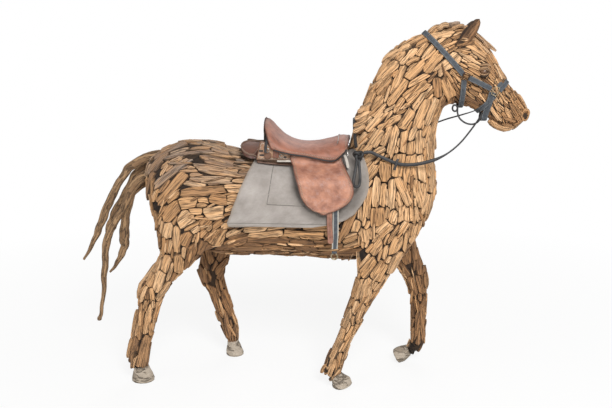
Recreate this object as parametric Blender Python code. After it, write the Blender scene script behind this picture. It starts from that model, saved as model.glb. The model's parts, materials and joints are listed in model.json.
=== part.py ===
"""Pony-size driftwood horse in riding tack, walking, head to +X, its right side to -Y.

Metres, +Z up. The soles stand on z = 0 and the plane of symmetry is y = 0. The body, neck and head
are one swept form, told by stations along the horse. It is clad in driftwood chips and cut into
sections that meet on flat joints round a steel frame. The legs, hooves, ears, eyes and tail roots
are cut to seat on that form, and the cloth, saddle, headcollar and reins are laid over it.
"""
import math
import random

import bmesh
import bpy
from mathutils import Matrix, Vector
from mathutils.bvhtree import BVHTree

# Fits
FIT_GAP = 0.0003          # air left between pieces that touch
BORE_CLEARANCE = 0.0015   # wood to steel, all round a frame tube
LAY_CLEARANCE = 0.0020    # tack to the wood or the leather it lies on

# Driftwood chips
BODY_RELIEF = 0.016       # how far the proudest chip may stand off the body
HEAD_RELIEF = 0.008       # the same on the head, where the chips are slivers
LEG_RELIEF = 0.009
GROOVE = 0.010            # width of the gap between two chips on the body
HEAD_GROOVE = 0.006
LEG_GROOVE = 0.007
PROUD_SHARE = 0.78        # the share of the relief that a chip uses at most

# Steel frame inside
SPINE_RADIUS = 0.024
SPINE_HEIGHT = 1.000
SPINE_REAR_X = -0.565
SPINE_FRONT_X = 0.455
CROSSBAR_RADIUS = 0.018
CROSSBAR_HALF_LENGTH = 0.150
HIP_X = -0.505
SHOULDER_X = 0.385
LEG_ROD_RADIUS = 0.011
NECK_ROD_RADIUS = 0.016
ROD_END_ABOVE_FLOOR = 0.022

# Saddle cloth
CLOTH_THICKNESS = 0.011
DRAPE_SHARE = 0.5488       # how far up from belly to back the cloth turns plumb

# Saddle
BOARD_THICKNESS = 0.015
BOARD_LIFT = CLOTH_THICKNESS + 3.4 * LAY_CLEARANCE  # the boards' underside over the covered body
BOARD_INNER_TURN = 13.0    # degrees from the top of the back
BOARD_OUTER_TURN = 47.0
ARCH_TURN = 33.0           # how far the arches reach down the boards
ARCH_WIDTH = 0.036
POMMEL_ARCH_X = 0.198
CANTLE_ARCH_X = -0.1225
ARCH_GAP = 0.001           # under the seat's leather
SEAT_THICKNESS = 0.009
SEAT_SHARES = 13           # points across the seat
SEAT_HALF_SPAN = 0.212
FLAP_THICKNESS = 0.006
FLAP_HINGE_DROP = 0.018    # below the seat's lowest edge
FLAP_TUCK = 0.008          # how far the flap's top runs up inside the seat's edge
FLAP_BEND = 0.085          # the height of its bend over the board; below that it hangs plumb
FLAP_LENGTH = 0.227        # from hinge to lowest point, straight down
BILLET_WIDTH = 0.034
WEB_WIDTH = 0.026
BILLET_SHORTER = 0.040     # the billet ends this far above the web
BILLET_POINT = 0.045       # the length of its tapered tip
STRAP_THICKNESS = 0.004
STRAP_X = 0.207            # the plumb line of the hanging strap and its ring
STRAP_PIVOT_DROP = 0.0744  # the straps' pin below the board's outer edge
STRAP_LENGTH = 0.299       # from the pin to the ring's loop
STRAP_PIN_RADIUS = 0.004
PIN_HEAD = 0.0015          # how far the pin stands out past the straps
HANGER_WIDTH = 0.022
HANGER_THICKNESS = 0.004
HANGER_TURN = 0.7          # from the board's edge, in degrees
HANGER_ABOVE_PIN = 0.016
HANGER_BELOW_PIN = 0.012
RING_RADIUS = 0.0145       # to the middle of its wire
RING_WIRE_RADIUS = 0.0032
RING_LOOP_LENGTH = 0.010   # the web's rolled end, which the ring hangs in
RING_LOOP_WALL = 0.002
RING_PLAY = 0.002

# Headcollar and reins
COLLAR_WIDTH = 0.026
COLLAR_THICKNESS = 0.004
SQUARE_RING_SIZE = 0.036
SQUARE_RING_BAR = 0.005
REIN_RADIUS = 0.006
KNOT_RADIUS = 0.022

# The body from tail to muzzle, one row for each station: top x, top z, bottom x, bottom z,
# half width, and how much narrower than an ellipse it is at the top
BODY_STATIONS = [
    (-0.770, 1.115, -0.757, 0.935, 0.070, 0.00),
    (-0.730, 1.170, -0.730, 0.850, 0.150, 0.00),
    (-0.675, 1.207, -0.680, 0.770, 0.205, 0.02),
    (-0.585, 1.240, -0.585, 0.705, 0.245, 0.05),
    (-0.465, 1.243, -0.465, 0.672, 0.262, 0.05),
    (-0.345, 1.215, -0.345, 0.662, 0.266, 0.05),
    (-0.205, 1.178, -0.205, 0.660, 0.268, 0.04),
    (-0.045, 1.152, -0.045, 0.660, 0.268, 0.04),
    (0.125, 1.160, 0.125, 0.655, 0.262, 0.05),
    (0.290, 1.205, 0.290, 0.650, 0.250, 0.10),
    (0.309, 1.335, 0.475, 0.675, 0.234, 0.20),
    (0.331, 1.400, 0.625, 0.785, 0.216, 0.24),
    (0.353, 1.455, 0.697, 0.930, 0.192, 0.26),
    (0.373, 1.500, 0.710, 1.060, 0.170, 0.26),
    (0.405, 1.575, 0.700, 1.180, 0.148, 0.24),
    (0.455, 1.665, 0.700, 1.300, 0.130, 0.20),
    (0.525, 1.735, 0.720, 1.390, 0.116, 0.16),
    (0.620, 1.776, 0.751, 1.432, 0.108, 0.10),
    (0.710, 1.806, 0.779, 1.447, 0.104, 0.05),
    (0.805, 1.816, 0.803, 1.442, 0.105, 0.00),
    (0.890, 1.768, 0.835, 1.433, 0.106, -0.02),
    (0.951, 1.700, 0.865, 1.424, 0.097, -0.02),
    (0.997, 1.620, 0.901, 1.411, 0.080, 0.00),
    (1.039, 1.557, 0.939, 1.392, 0.066, 0.02),
    (1.083, 1.515, 0.975, 1.358, 0.058, 0.04),
    (1.121, 1.466, 1.015, 1.331, 0.057, 0.04),
    (1.147, 1.418, 1.065, 1.322, 0.051, 0.00),
    (1.151, 1.388, 1.105, 1.340, 0.036, 0.00),
]
HEAD_STARTS = 18
SADDLE_STATION = 7         # the lowest of the back
# Sections of the body: first station, last station, strips along, chips around
SECTIONS = {
    "rump": (0, 5, 6, 16),
    "barrel": (5, 9, 5, 16),
    "chest": (9, 13, 6, 17),
    "neck_lower": (13, 16, 5, 15),
    "neck_upper": (16, 18, 4, 15),
    "head": (18, 27, 9, 12),
}

# The legs from the hip or shoulder down: front x, front z, back x, back z, y, half width.
# The row at `split` is the hock or knee, where the lower leg starts; the last two rows are the hoof.
LEGS = {
    "right_hind": {"split": 5, "rows": [
        (-0.315, 0.980, -0.715, 1.000, -0.150, 0.100),
        (-0.345, 0.800, -0.695, 0.830, -0.165, 0.106),
        (-0.460, 0.690, -0.675, 0.705, -0.175, 0.092),
        (-0.545, 0.615, -0.693, 0.625, -0.180, 0.074),
        (-0.605, 0.555, -0.745, 0.545, -0.185, 0.062),
        (-0.660, 0.475, -0.797, 0.490, -0.190, 0.055),
        (-0.690, 0.400, -0.801, 0.395, -0.190, 0.047),
        (-0.720, 0.285, -0.817, 0.290, -0.190, 0.042),
        (-0.743, 0.200, -0.843, 0.190, -0.190, 0.043),
        (-0.757, 0.120, -0.863, 0.122, -0.190, 0.047),
        (-0.763, 0.078, -0.835, 0.072, -0.190, 0.038),
        (-0.741, 0.034, -0.847, 0.028, -0.190, 0.050),
        (-0.731, -0.006, -0.849, -0.006, -0.190, 0.054)]},
    "left_hind": {"split": 5, "rows": [
        (-0.275, 0.950, -0.645, 0.980, 0.150, 0.100),
        (-0.290, 0.790, -0.605, 0.800, 0.165, 0.106),
        (-0.330, 0.675, -0.560, 0.680, 0.175, 0.090),
        (-0.380, 0.605, -0.548, 0.600, 0.180, 0.072),
        (-0.411, 0.545, -0.563, 0.525, 0.185, 0.060),
        (-0.428, 0.485, -0.567, 0.462, 0.190, 0.055),
        (-0.413, 0.405, -0.525, 0.395, 0.190, 0.047),
        (-0.382, 0.285, -0.485, 0.275, 0.190, 0.042),
        (-0.360, 0.205, -0.459, 0.190, 0.190, 0.042),
        (-0.341, 0.145, -0.437, 0.135, 0.190, 0.045),
        (-0.353, 0.084, -0.413, 0.078, 0.190, 0.037),
        (-0.333, 0.036, -0.419, 0.030, 0.190, 0.046),
        (-0.321, -0.006, -0.419, -0.006, 0.190, 0.050)]},
    "right_fore": {"split": 6, "rows": [
        (0.645, 1.000, 0.325, 0.980, -0.130, 0.090),
        (0.661, 0.875, 0.321, 0.800, -0.150, 0.096),
        (0.611, 0.775, 0.325, 0.700, -0.165, 0.088),
        (0.545, 0.690, 0.330, 0.625, -0.175, 0.076),
        (0.480, 0.590, 0.321, 0.550, -0.180, 0.064),
        (0.417, 0.490, 0.293, 0.462, -0.180, 0.055),
        (0.375, 0.415, 0.263, 0.375, -0.180, 0.052),
        (0.338, 0.325, 0.235, 0.285, -0.180, 0.044),
        (0.300, 0.240, 0.207, 0.210, -0.180, 0.042),
        (0.277, 0.170, 0.172, 0.150, -0.180, 0.043),
        (0.261, 0.108, 0.152, 0.102, -0.180, 0.046),
        (0.253, 0.072, 0.190, 0.058, -0.180, 0.035),
        (0.293, 0.052, 0.209, 0.020, -0.180, 0.046),
        (0.307, 0.020, 0.205, -0.014, -0.180, 0.048)]},
    "left_fore": {"split": 5, "rows": [
        (0.655, 0.960, 0.365, 0.940, 0.130, 0.090),
        (0.649, 0.830, 0.391, 0.780, 0.150, 0.092),
        (0.627, 0.720, 0.445, 0.670, 0.160, 0.082),
        (0.655, 0.620, 0.510, 0.575, 0.165, 0.070),
        (0.695, 0.545, 0.570, 0.500, 0.170, 0.060),
        (0.711, 0.470, 0.610, 0.440, 0.170, 0.054),
        (0.705, 0.360, 0.619, 0.350, 0.170, 0.046),
        (0.703, 0.220, 0.628, 0.220, 0.170, 0.042),
        (0.703, 0.125, 0.625, 0.140, 0.170, 0.044),
        (0.679, 0.068, 0.627, 0.108, 0.170, 0.038),
        (0.629, 0.040, 0.603, 0.094, 0.170, 0.034),
        (0.603, 0.012, 0.563, 0.082, 0.170, 0.044),
        (0.569, -0.007, 0.531, 0.060, 0.170, 0.046)]},
}
LEG_CHIPS_AROUND = 7
UPPER_LEG_STRIPS = 5
LOWER_LEG_STRIPS = 5
HOOF_SIDES = 12
HOOF_STEPS = (0, 0.4, 1.2, 2)  # from the pastern's row down to the sole's

# Tail roots: x, y, z and radius down each one, the first points inside the rump
TAIL_ROOTS = {
    "tail_root_upper": [
        (-0.645, -0.010, 1.170, 0.030), (-0.757, -0.012, 1.172, 0.029), (-0.870, -0.015, 1.118, 0.024),
        (-0.935, -0.020, 1.036, 0.020), (-0.986, -0.024, 0.945, 0.021), (-1.051, -0.030, 0.812, 0.020),
        (-1.091, -0.034, 0.715, 0.014), (-1.151, -0.040, 0.604, 0.006)],
    "tail_root_middle": [
        (-0.665, 0.046, 1.130, 0.022), (-0.775, 0.046, 1.120, 0.022), (-0.863, 0.040, 1.062, 0.019),
        (-0.907, 0.034, 0.978, 0.017), (-0.967, 0.030, 0.884, 0.016), (-1.011, 0.026, 0.800, 0.013),
        (-1.033, 0.024, 0.742, 0.007)],
    "tail_root_long": [
        (-0.685, -0.030, 1.080, 0.030), (-0.785, -0.034, 1.062, 0.028), (-0.857, -0.050, 0.992, 0.023),
        (-0.903, -0.070, 0.895, 0.020), (-0.981, -0.074, 0.790, 0.020), (-1.021, -0.076, 0.690, 0.020),
        (-1.035, -0.078, 0.560, 0.016), (-1.053, -0.080, 0.420, 0.011), (-1.075, -0.082, 0.300, 0.010),
        (-1.082, -0.082, 0.268, 0.012)],
    "tail_root_short": [
        (-0.685, 0.034, 1.020, 0.024), (-0.781, 0.030, 1.016, 0.024), (-0.860, 0.002, 0.960, 0.021),
        (-0.897, -0.014, 0.860, 0.020), (-0.913, -0.022, 0.750, 0.023), (-0.919, -0.026, 0.680, 0.020),
        (-0.951, -0.030, 0.600, 0.013), (-1.001, -0.036, 0.538, 0.006)],
}
TAIL_SIDES = 6

# Side outlines of the tack, x and z
# The cloth's rear and front edge, x at each turn in degrees from the top of the back, then at each
# height of the hem
CLOTH_EDGES = [(0, -0.171, 0.261), (12, -0.176, 0.271), (24, -0.184, 0.301), (36, -0.195, 0.347),
               (48, -0.211, 0.371), (60, -0.229, 0.377), (70, -0.246, 0.369), (80, -0.263, 0.345),
               (90, -0.281, 0.313)]
CLOTH_HEM_EDGES = [(0.896, -0.295, 0.261), (0.876, -0.301, 0.195), (0.862, -0.295, 0.105)]
FLAP_REAR_EDGE = [(0.009, 1.178), (0.022, 1.150), (0.051, 1.020), (0.079, 0.974),
                  (0.115, 0.947), (0.153, 0.933)]
FLAP_FRONT_EDGE = [(0.261, 1.178), (0.280, 1.150), (0.302, 1.075), (0.301, 1.029),
                   (0.277, 0.985), (0.229, 0.952), (0.181, 0.933)]
SEAT_TOP_LINE = [(-0.141, 1.350), (-0.117, 1.338), (-0.075, 1.298), (-0.025, 1.268), (0.037, 1.251),
                 (0.114, 1.253), (0.192, 1.270), (0.236, 1.282), (0.272, 1.278)]
SEAT_LOWER_EDGE = [(-0.141, 1.256), (-0.103, 1.236), (-0.061, 1.222), (-0.008, 1.210), (0.066, 1.200),
                   (0.129, 1.188), (0.192, 1.178), (0.223, 1.186), (0.261, 1.220), (0.272, 1.240)]
BOARD_REAR_X = -0.257
BOARD_FRONT_X = 0.220
BOARD_ROUNDING = 0.075     # the length over which its rear end rounds in
CANTLE_TOP = (-0.150, 1.372)
CANTLE_HALF_SPAN = 0.150
CANTLE_DROP = 0.100
CANTLE_THICKNESS = 0.014
CANTLE_DEPTH = 0.100       # its height at the middle
CANTLE_LEAN = 0.006

# Headcollar, side view: a band's centre inside the head, and the point that its top passes
CROWN_CENTRE, CROWN_TOP = (0.745, 1.664), (0.626, 1.780)
NOSE_CENTRE, NOSE_TOP = (0.973, 1.480), (1.032, 1.566)
THROAT_CENTRE, THROAT_TOP = (0.825, 1.560), (0.831, 1.800)
CHEEK_RING_AT = (0.831, 1.578)
NOSE_RING_AT = (0.967, 1.514)
EAR_BASE, EAR_TIP, EAR_Y = (0.807, 1.770), (0.889, 1.852), 0.056
EAR_WIDTH = 0.064
EYE_AT, EYE_RADIUS = (0.927, 1.603), 0.021

# Reins, by hand: from the chin strap down to the neck and back to the knot beside the withers
REIN_RIGHT_ROUTE = [
    (0.923, -0.074, 1.404), (0.901, -0.100, 1.372), (0.855, -0.150, 1.318), (0.809, -0.185, 1.268),
    (0.761, -0.205, 1.228), (0.714, -0.214, 1.200), (0.667, -0.218, 1.182), (0.597, -0.219, 1.166),
    (0.526, -0.222, 1.166), (0.477, -0.221, 1.182), (0.423, -0.218, 1.205), (0.385, -0.218, 1.222),
    (0.355, -0.222, 1.224)]
REIN_LEFT_ROUTE = [
    (0.923, 0.074, 1.404), (0.891, 0.095, 1.388), (0.835, 0.140, 1.366), (0.775, 0.172, 1.345),
    (0.705, 0.192, 1.318), (0.625, 0.200, 1.290), (0.535, 0.204, 1.268), (0.455, 0.200, 1.262),
    (0.385, 0.183, 1.278), (0.331, 0.152, 1.308), (0.307, 0.106, 1.340), (0.298, 0.052, 1.366),
    (0.295, 0.000, 1.375), (0.295, -0.052, 1.364), (0.297, -0.104, 1.332), (0.305, -0.160, 1.278),
    (0.317, -0.196, 1.246)]
REIN_TAIL_ROUTE = [
    (0.327, -0.246, 1.196), (0.324, -0.266, 1.168), (0.319, -0.288, 1.130), (0.314, -0.302, 1.096),
    (0.314, -0.308, 1.070), (0.323, -0.310, 1.060), (0.333, -0.308, 1.074), (0.336, -0.300, 1.106),
    (0.337, -0.276, 1.150), (0.338, -0.252, 1.190)]
KNOT_AT = (0.331, -0.226, 1.214)
JAW_LOOP_ROUTE = [
    (0.807, -0.040, 1.424), (0.807, -0.052, 1.398), (0.819, -0.060, 1.372), (0.847, -0.062, 1.352),
    (0.879, -0.058, 1.346), (0.905, -0.050, 1.356), (0.923, -0.044, 1.378)]


def make_material(name, colour, roughness, metallic=0.0):
    material = bpy.data.materials.new(name)
    material.use_nodes = True
    shader = material.node_tree.nodes["Principled BSDF"]
    shader.inputs["Base Color"].default_value = (*colour, 1.0)
    shader.inputs["Roughness"].default_value = roughness
    shader.inputs["Metallic"].default_value = metallic
    material.diffuse_color = (*colour, 1.0)
    return material


def make_materials():
    return {
        "driftwood": make_material("driftwood", (0.42, 0.24, 0.11), 0.82),
        "pale_wood": make_material("pale_wood", (0.45, 0.39, 0.32), 0.75),
        "frame_steel": make_material("frame_steel", (0.12, 0.11, 0.10), 0.55, 0.9),
        "canvas": make_material("canvas", (0.36, 0.34, 0.31), 0.95),
        "saddle_leather": make_material("saddle_leather", (0.30, 0.11, 0.05), 0.45),
        "webbing": make_material("webbing", (0.06, 0.065, 0.07), 0.85),
        "rein_leather": make_material("rein_leather", (0.03, 0.03, 0.03), 0.5),
        "bright_steel": make_material("bright_steel", (0.45, 0.44, 0.42), 0.35, 1.0),
    }


def spline_value(rows, t):
    """A smooth value through the rows, a number or a row of numbers for each whole t."""
    last = len(rows) - 1
    t = min(max(t, 0.0), float(last))
    i = min(int(t), last - 1)
    f = t - i
    a, b = rows[max(i - 1, 0)], rows[i]
    c, d = rows[i + 1], rows[min(i + 2, last)]
    return tuple(
        0.5 * (2 * q + (r - p) * f + (2 * p - 5 * q + 4 * r - s) * f * f + (3 * q - p - 3 * r + s) * f ** 3)
        for p, q, r, s in zip(a, b, c, d))


def line_value(points, at, key=0, value=1):
    """Straight interpolation along an outline, its rows in either order of their key."""
    rows = sorted(points, key=lambda p: p[key])
    if at <= rows[0][key]:
        return rows[0][value]
    for low, high in zip(rows, rows[1:]):
        if at <= high[key]:
            share = (at - low[key]) / (high[key] - low[key])
            return low[value] + share * (high[value] - low[value])
    return rows[-1][value]


def body_relief(t):
    """The chips' relief at a station: the head's slivers stand off less."""
    share = min(max((t - (HEAD_STARTS - 4)) / 4.0, 0.0), 1.0)
    return BODY_RELIEF + share * (HEAD_RELIEF - BODY_RELIEF)


def body_point(t, angle):
    """A point on the body's smooth form, angle 0 at the top and pi/2 on its left side."""
    ax, az, bx, bz, half_width, egg = spline_value(BODY_STATIONS, t)
    up = math.cos(angle)
    side = half_width * math.sin(angle) * (1.0 - egg * up)
    return Vector(((ax + bx) / 2 + (ax - bx) / 2 * up, side, (az + bz) / 2 + (az - bz) / 2 * up))


def leg_point(rows, t, angle):
    """A point on a leg's smooth form, angle 0 at the front."""
    ax, az, bx, bz, y, half_width = spline_value(rows, t)
    ahead = math.cos(angle)
    return Vector(((ax + bx) / 2 + (ax - bx) / 2 * ahead, y + half_width * math.sin(angle),
                   (az + bz) / 2 + (az - bz) / 2 * ahead))


def new_object(name, bm, material, smooth_degrees=None):
    bmesh.ops.recalc_face_normals(bm, faces=bm.faces)
    mesh = bpy.data.meshes.new(name)
    bm.to_mesh(mesh)
    bm.free()
    if smooth_degrees is not None:
        mesh.shade_smooth()
        mesh.set_sharp_from_angle(angle=math.radians(smooth_degrees))
    mesh.materials.append(material)
    obj = bpy.data.objects.new(name, mesh)
    bpy.context.scene.collection.objects.link(obj)
    return obj


def make_guide(obj):
    """Mark a cutter: it shapes other pieces and isn't one itself."""
    obj.hide_render = True
    obj.display_type = "WIRE"
    return obj


def loft(bm, rings, cap=True):
    """Faces between rings of the same count of points; each ring is a list of points."""
    grid = [[bm.verts.new(point) for point in ring] for ring in rings]
    count = len(grid[0])
    strips = []
    for lower, upper in zip(grid, grid[1:]):
        strips.append([bm.faces.new((lower[i], lower[(i + 1) % count], upper[(i + 1) % count], upper[i]))
                       for i in range(count)])
    if cap:
        bm.faces.new(list(reversed(grid[0])))
        bm.faces.new(grid[-1])
    return strips


def ring_plane(point_at, t, inward):
    """The flat plane of a ring, moved half the fitting gap towards `inward` along the form."""
    ring = [point_at(t, math.tau * i / 8) for i in range(8)]
    centre = sum(ring, Vector()) / len(ring)
    normal = (ring[0] - centre).cross(ring[2] - centre).normalized()
    if normal.dot(inward - centre) < 0:
        normal.negate()
    return centre + normal * FIT_GAP / 2, normal


def keep_between(bm, planes):
    """Bring every vertex that passes an end plane back onto it."""
    for vert in bm.verts:
        for point, normal in planes:
            depth = (vert.co - point).dot(normal)
            if depth < 0:
                vert.co -= normal * depth


def bridges_hollow(first, second):
    """Whether one long chip over both faces would stand clear of the form between them."""
    shared = (set(first.edges) & set(second.edges)).pop()
    middle = (shared.verts[0].co + shared.verts[1].co) / 2
    chord = (first.calc_center_median() + second.calc_center_median()) / 2
    return (chord - middle).dot(first.normal + second.normal) > 0.0


def clad_form(bm, point_at, relief_at, first, last, strips, around, groove, rng):
    """Driftwood chips on a form between two of its rings: staggered, uneven, one end proud."""
    step = (last - first) / strips
    rings = []
    for row in range(strips + 1):
        at_end = row in (0, strips)
        ring = []
        for i in range(around):
            t = first + step * row
            turn = i + (0.5 if row % 2 else 0.0) * 0.35
            if not at_end:
                t += step * rng.uniform(-0.24, 0.24)
            turn += rng.uniform(-0.16, 0.16)
            ring.append((t, math.tau * turn / around))
        rings.append(ring)
    planes = [ring_plane(point_at, first, point_at(first + step, 0.0)),
              ring_plane(point_at, last, point_at(last - step, 0.0))]
    faces = loft(bm, [[point_at(t, angle) for t, angle in ring] for ring in rings])
    bmesh.ops.recalc_face_normals(bm, faces=bm.faces)
    bm.normal_update()

    pads = {}
    for row, strip in enumerate(faces):
        for i, face in enumerate(strip):
            pads[(row, i)] = face
    joined = []
    for i in range(around):
        row = rng.randint(0, 1)
        while row + 1 < strips:
            if rng.random() < 0.55 and not bridges_hollow(pads[(row, i)], pads[(row + 1, i)]):
                joined.extend(set(pads[(row, i)].edges) & set(pads[(row + 1, i)].edges))
                row += 2
            else:
                row += 1
    tops_before = {face for strip in faces for face in strip}
    ends = [face for face in bm.faces if face not in tops_before]
    bmesh.ops.dissolve_edges(bm, edges=joined, use_verts=False)
    tops = [face for face in bm.faces if face not in ends]
    bmesh.ops.inset_individual(bm, faces=tops, thickness=groove / 2, depth=0.0, use_even_offset=True)
    for face in tops:
        face.normal_update()
        middle = face.calc_center_median()
        relief = relief_at(first + (last - first) * 0.5) * PROUD_SHARE
        proud = relief * rng.uniform(0.45, 1.0)
        lean = rng.uniform(0.25, 0.75)
        along = (point_at(last, 0.0) - point_at(first, 0.0)).normalized()
        reach = max(abs((vert.co - middle).dot(along)) for vert in face.verts) or 1.0
        normal = face.normal.copy()
        for vert in face.verts:
            share = 0.5 - 0.5 * (vert.co - middle).dot(along) / reach
            vert.co += normal * proud * (1.0 - lean * share)
    keep_between(bm, planes)


def body_cover(extra, sides=40, per_station=4):
    """The body's smooth form moved out along its normals over its proudest chips, and `extra` more."""
    bm = bmesh.new()
    stations = [k / per_station for k in range((len(BODY_STATIONS) - 1) * per_station + 1)]
    loft(bm, [[body_point(t, math.tau * i / sides) for i in range(sides)] for t in stations])
    bmesh.ops.recalc_face_normals(bm, faces=bm.faces)
    bm.normal_update()
    moves = [vert.normal * (body_relief(stations[vert.index // sides]) + extra) for vert in indexed(bm)]
    for vert, move in zip(bm.verts, moves):
        vert.co += move
    return bm


def indexed(bm):
    bm.verts.index_update()
    bm.verts.ensure_lookup_table()
    return bm.verts


def apply_modifiers(obj):
    """Replace an object's mesh by its evaluated one, keeping only its largest island."""
    depsgraph = bpy.context.evaluated_depsgraph_get()
    mesh = bpy.data.meshes.new_from_object(obj.evaluated_get(depsgraph))
    obj.modifiers.clear()
    old = obj.data
    obj.data = mesh
    bpy.data.meshes.remove(old)
    bm = bmesh.new()
    bm.from_mesh(mesh)
    islands = []
    seen = set()
    for start in bm.verts:
        if start in seen:
            continue
        island, queue = set(), [start]
        while queue:
            vert = queue.pop()
            if vert in island:
                continue
            island.add(vert)
            queue.extend(edge.other_vert(vert) for edge in vert.link_edges)
        seen |= island
        islands.append(island)
    largest = max(islands, key=len)
    bmesh.ops.delete(bm, geom=[vert for vert in bm.verts if vert not in largest], context="VERTS")
    bm.to_mesh(mesh)
    bm.free()


def join(obj, *others):
    """Add other pieces' volumes to a piece."""
    for other in others:
        modifier = obj.modifiers.new("join", "BOOLEAN")
        modifier.operation = "UNION"
        modifier.solver = "EXACT"
        modifier.object = other
    apply_modifiers(obj)


def cut_away(obj, *cutters):
    """Take the cutters' volumes out of a piece."""
    for cutter in cutters:
        modifier = obj.modifiers.new("cut", "BOOLEAN")
        modifier.operation = "DIFFERENCE"
        modifier.solver = "EXACT"
        modifier.object = cutter
    apply_modifiers(obj)


def tube_rings(points, radii, sides):
    """Rings square to a path, turned as little as possible from one to the next."""
    rings = []
    first = (points[1] - points[0]).normalized()
    side = Vector((0.0, 1.0, 0.0)) if abs(first.y) < 0.8 else Vector((1.0, 0.0, 0.0))
    for i, point in enumerate(points):
        ahead = points[min(i + 1, len(points) - 1)] - points[max(i - 1, 0)]
        ahead.normalize()
        side = (side - ahead * side.dot(ahead)).normalized()
        up = ahead.cross(side)
        rings.append([point + (side * math.cos(math.tau * k / sides) + up * math.sin(math.tau * k / sides))
                      * radii[i] for k in range(sides)])
    return rings


def tube_object(name, points, radii, material, sides=8):
    bm = bmesh.new()
    loft(bm, tube_rings([Vector(p) for p in points], radii, sides))
    return new_object(name, bm, material, 50)


# The body, legs, head and tail

def build_body(wood, rng):
    sections = {}
    for name, (first, last, strips, around) in SECTIONS.items():
        bm = bmesh.new()
        groove = HEAD_GROOVE if name == "head" else GROOVE
        clad_form(bm, body_point, body_relief, first, last, strips, around, groove, rng)
        bmesh.ops.triangulate(bm, faces=bm.faces)
        sections[name] = new_object(name, bm, wood)
    return sections


def hoof_object(name, rows, material):
    """A carved hoof from the pastern to the floor, its sole cut flat at z = 0."""
    bm = bmesh.new()
    start = len(rows) - 3
    planes = [ring_plane(lambda t, a: leg_point(rows, t, a), start, leg_point(rows, start + 1, 0.0))]
    rings = []
    for step in HOOF_STEPS:
        rings.append([leg_point(rows, start + step, math.tau * i / HOOF_SIDES) for i in range(HOOF_SIDES)])
    loft(bm, rings)
    keep_between(bm, planes)
    cut = bmesh.ops.bisect_plane(bm, geom=list(bm.verts) + list(bm.edges) + list(bm.faces),
                                 plane_co=(0, 0, 0), plane_no=(0, 0, -1), clear_outer=True)
    edges = [item for item in cut["geom_cut"] if isinstance(item, bmesh.types.BMEdge)]
    if edges:
        bmesh.ops.holes_fill(bm, edges=edges)
    return new_object(name, bm, material, 40)


def build_legs(wood, pale, body_cutter, rng):
    legs = {}
    for name, leg in LEGS.items():
        rows, split = leg["rows"], leg["split"]

        def point_at(t, angle, rows=rows):
            return leg_point(rows, t, angle)

        pastern = len(rows) - 3
        upper = bmesh.new()
        clad_form(upper, point_at, lambda t: LEG_RELIEF, 0, split, UPPER_LEG_STRIPS,
                  LEG_CHIPS_AROUND + 1, LEG_GROOVE, rng)
        bmesh.ops.triangulate(upper, faces=upper.faces)
        upper = new_object(name + "_upper_leg", upper, wood)
        cut_away(upper, body_cutter)
        lower = bmesh.new()
        clad_form(lower, point_at, lambda t: LEG_RELIEF, split, pastern, LOWER_LEG_STRIPS,
                  LEG_CHIPS_AROUND, LEG_GROOVE, rng)
        bmesh.ops.triangulate(lower, faces=lower.faces)
        lower = new_object(name + "_lower_leg", lower, wood)
        hoof = hoof_object(name + "_hoof", rows, pale)
        legs[name] = (upper, lower, hoof)
    return legs


def build_ears(wood, body_cutter):
    """Cupped ears, open to the side, seated on the poll."""
    base = Vector((EAR_BASE[0], 0.0, EAR_BASE[1]))
    tip = Vector((EAR_TIP[0], 0.0, EAR_TIP[1]))
    root = base - (tip - base) * 0.45
    along = (tip - root).normalized()
    for side, label in ((-1, "right"), (1, "left")):
        out = Vector((0.0, side, 0.0))
        fore = along.cross(out) * -side
        bm = bmesh.new()
        rings = []
        for share, width in ((0.0, 0.62), (0.25, 0.86), (0.5, 1.0), (0.75, 0.82), (0.92, 0.42), (1.0, 0.10)):
            centre = root.lerp(tip, share) + out * (EAR_Y + 0.010 * share)
            half = EAR_WIDTH / 2 * width
            outer = [(-1.0, 0.30), (-0.72, -0.30), (0.0, -0.62), (0.72, -0.30), (1.0, 0.30)]
            inner = [(0.62, 0.10), (0.0, -0.24), (-0.62, 0.10)]
            rings.append([centre + fore * half * u + out * half * v for u, v in outer + inner])
        loft(bm, rings)
        ear = new_object(label + "_ear", bm, wood, 40)
        cut_away(ear, body_cutter)


def build_eyes(wood, cover_tree, body_cutter):
    """Carved round eyes in a turned brow, let onto the sides of the head."""
    for side, label in ((-1, "right"), (1, "left")):
        at = side_hit(cover_tree, EYE_AT[0], EYE_AT[1], side)
        bm = bmesh.new()
        profile = [(1.0, -0.55), (1.0, 0.14), (0.80, 0.24), (0.64, 0.20), (0.40, 0.46)]
        sides = 10
        rings = [[at + Vector((math.cos(math.tau * i / sides) * r, side * h,
                               math.sin(math.tau * i / sides) * r)) * EYE_RADIUS for i in range(sides)]
                 for r, h in profile]
        loft(bm, rings)
        eye = new_object(label + "_eye", bm, wood, 40)
        cut_away(eye, body_cutter)


def build_tail(wood, body_cutter):
    for name, rows in TAIL_ROOTS.items():
        count = (len(rows) - 1) * 2 + 1
        path = [spline_value(rows, k / 2) for k in range(count)]
        points = [Vector(row[:3]) for row in path]
        root = tube_object(name, points, [max(row[3], 0.004) for row in path], wood, TAIL_SIDES)
        cut_away(root, body_cutter)


# The steel frame

def leg_rod_path(rows, top):
    """Down the middle of a leg from its crossbar to just above the floor."""
    points = [top]
    for row in rows[1:-1:2]:
        middle = Vector(((row[0] + row[2]) / 2, row[4], (row[1] + row[3]) / 2))
        if middle.z < points[-1].z - 0.02:
            points.append(middle)
    points[-1].z = max(points[-1].z, ROD_END_ABOVE_FLOOR)
    return points


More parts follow.
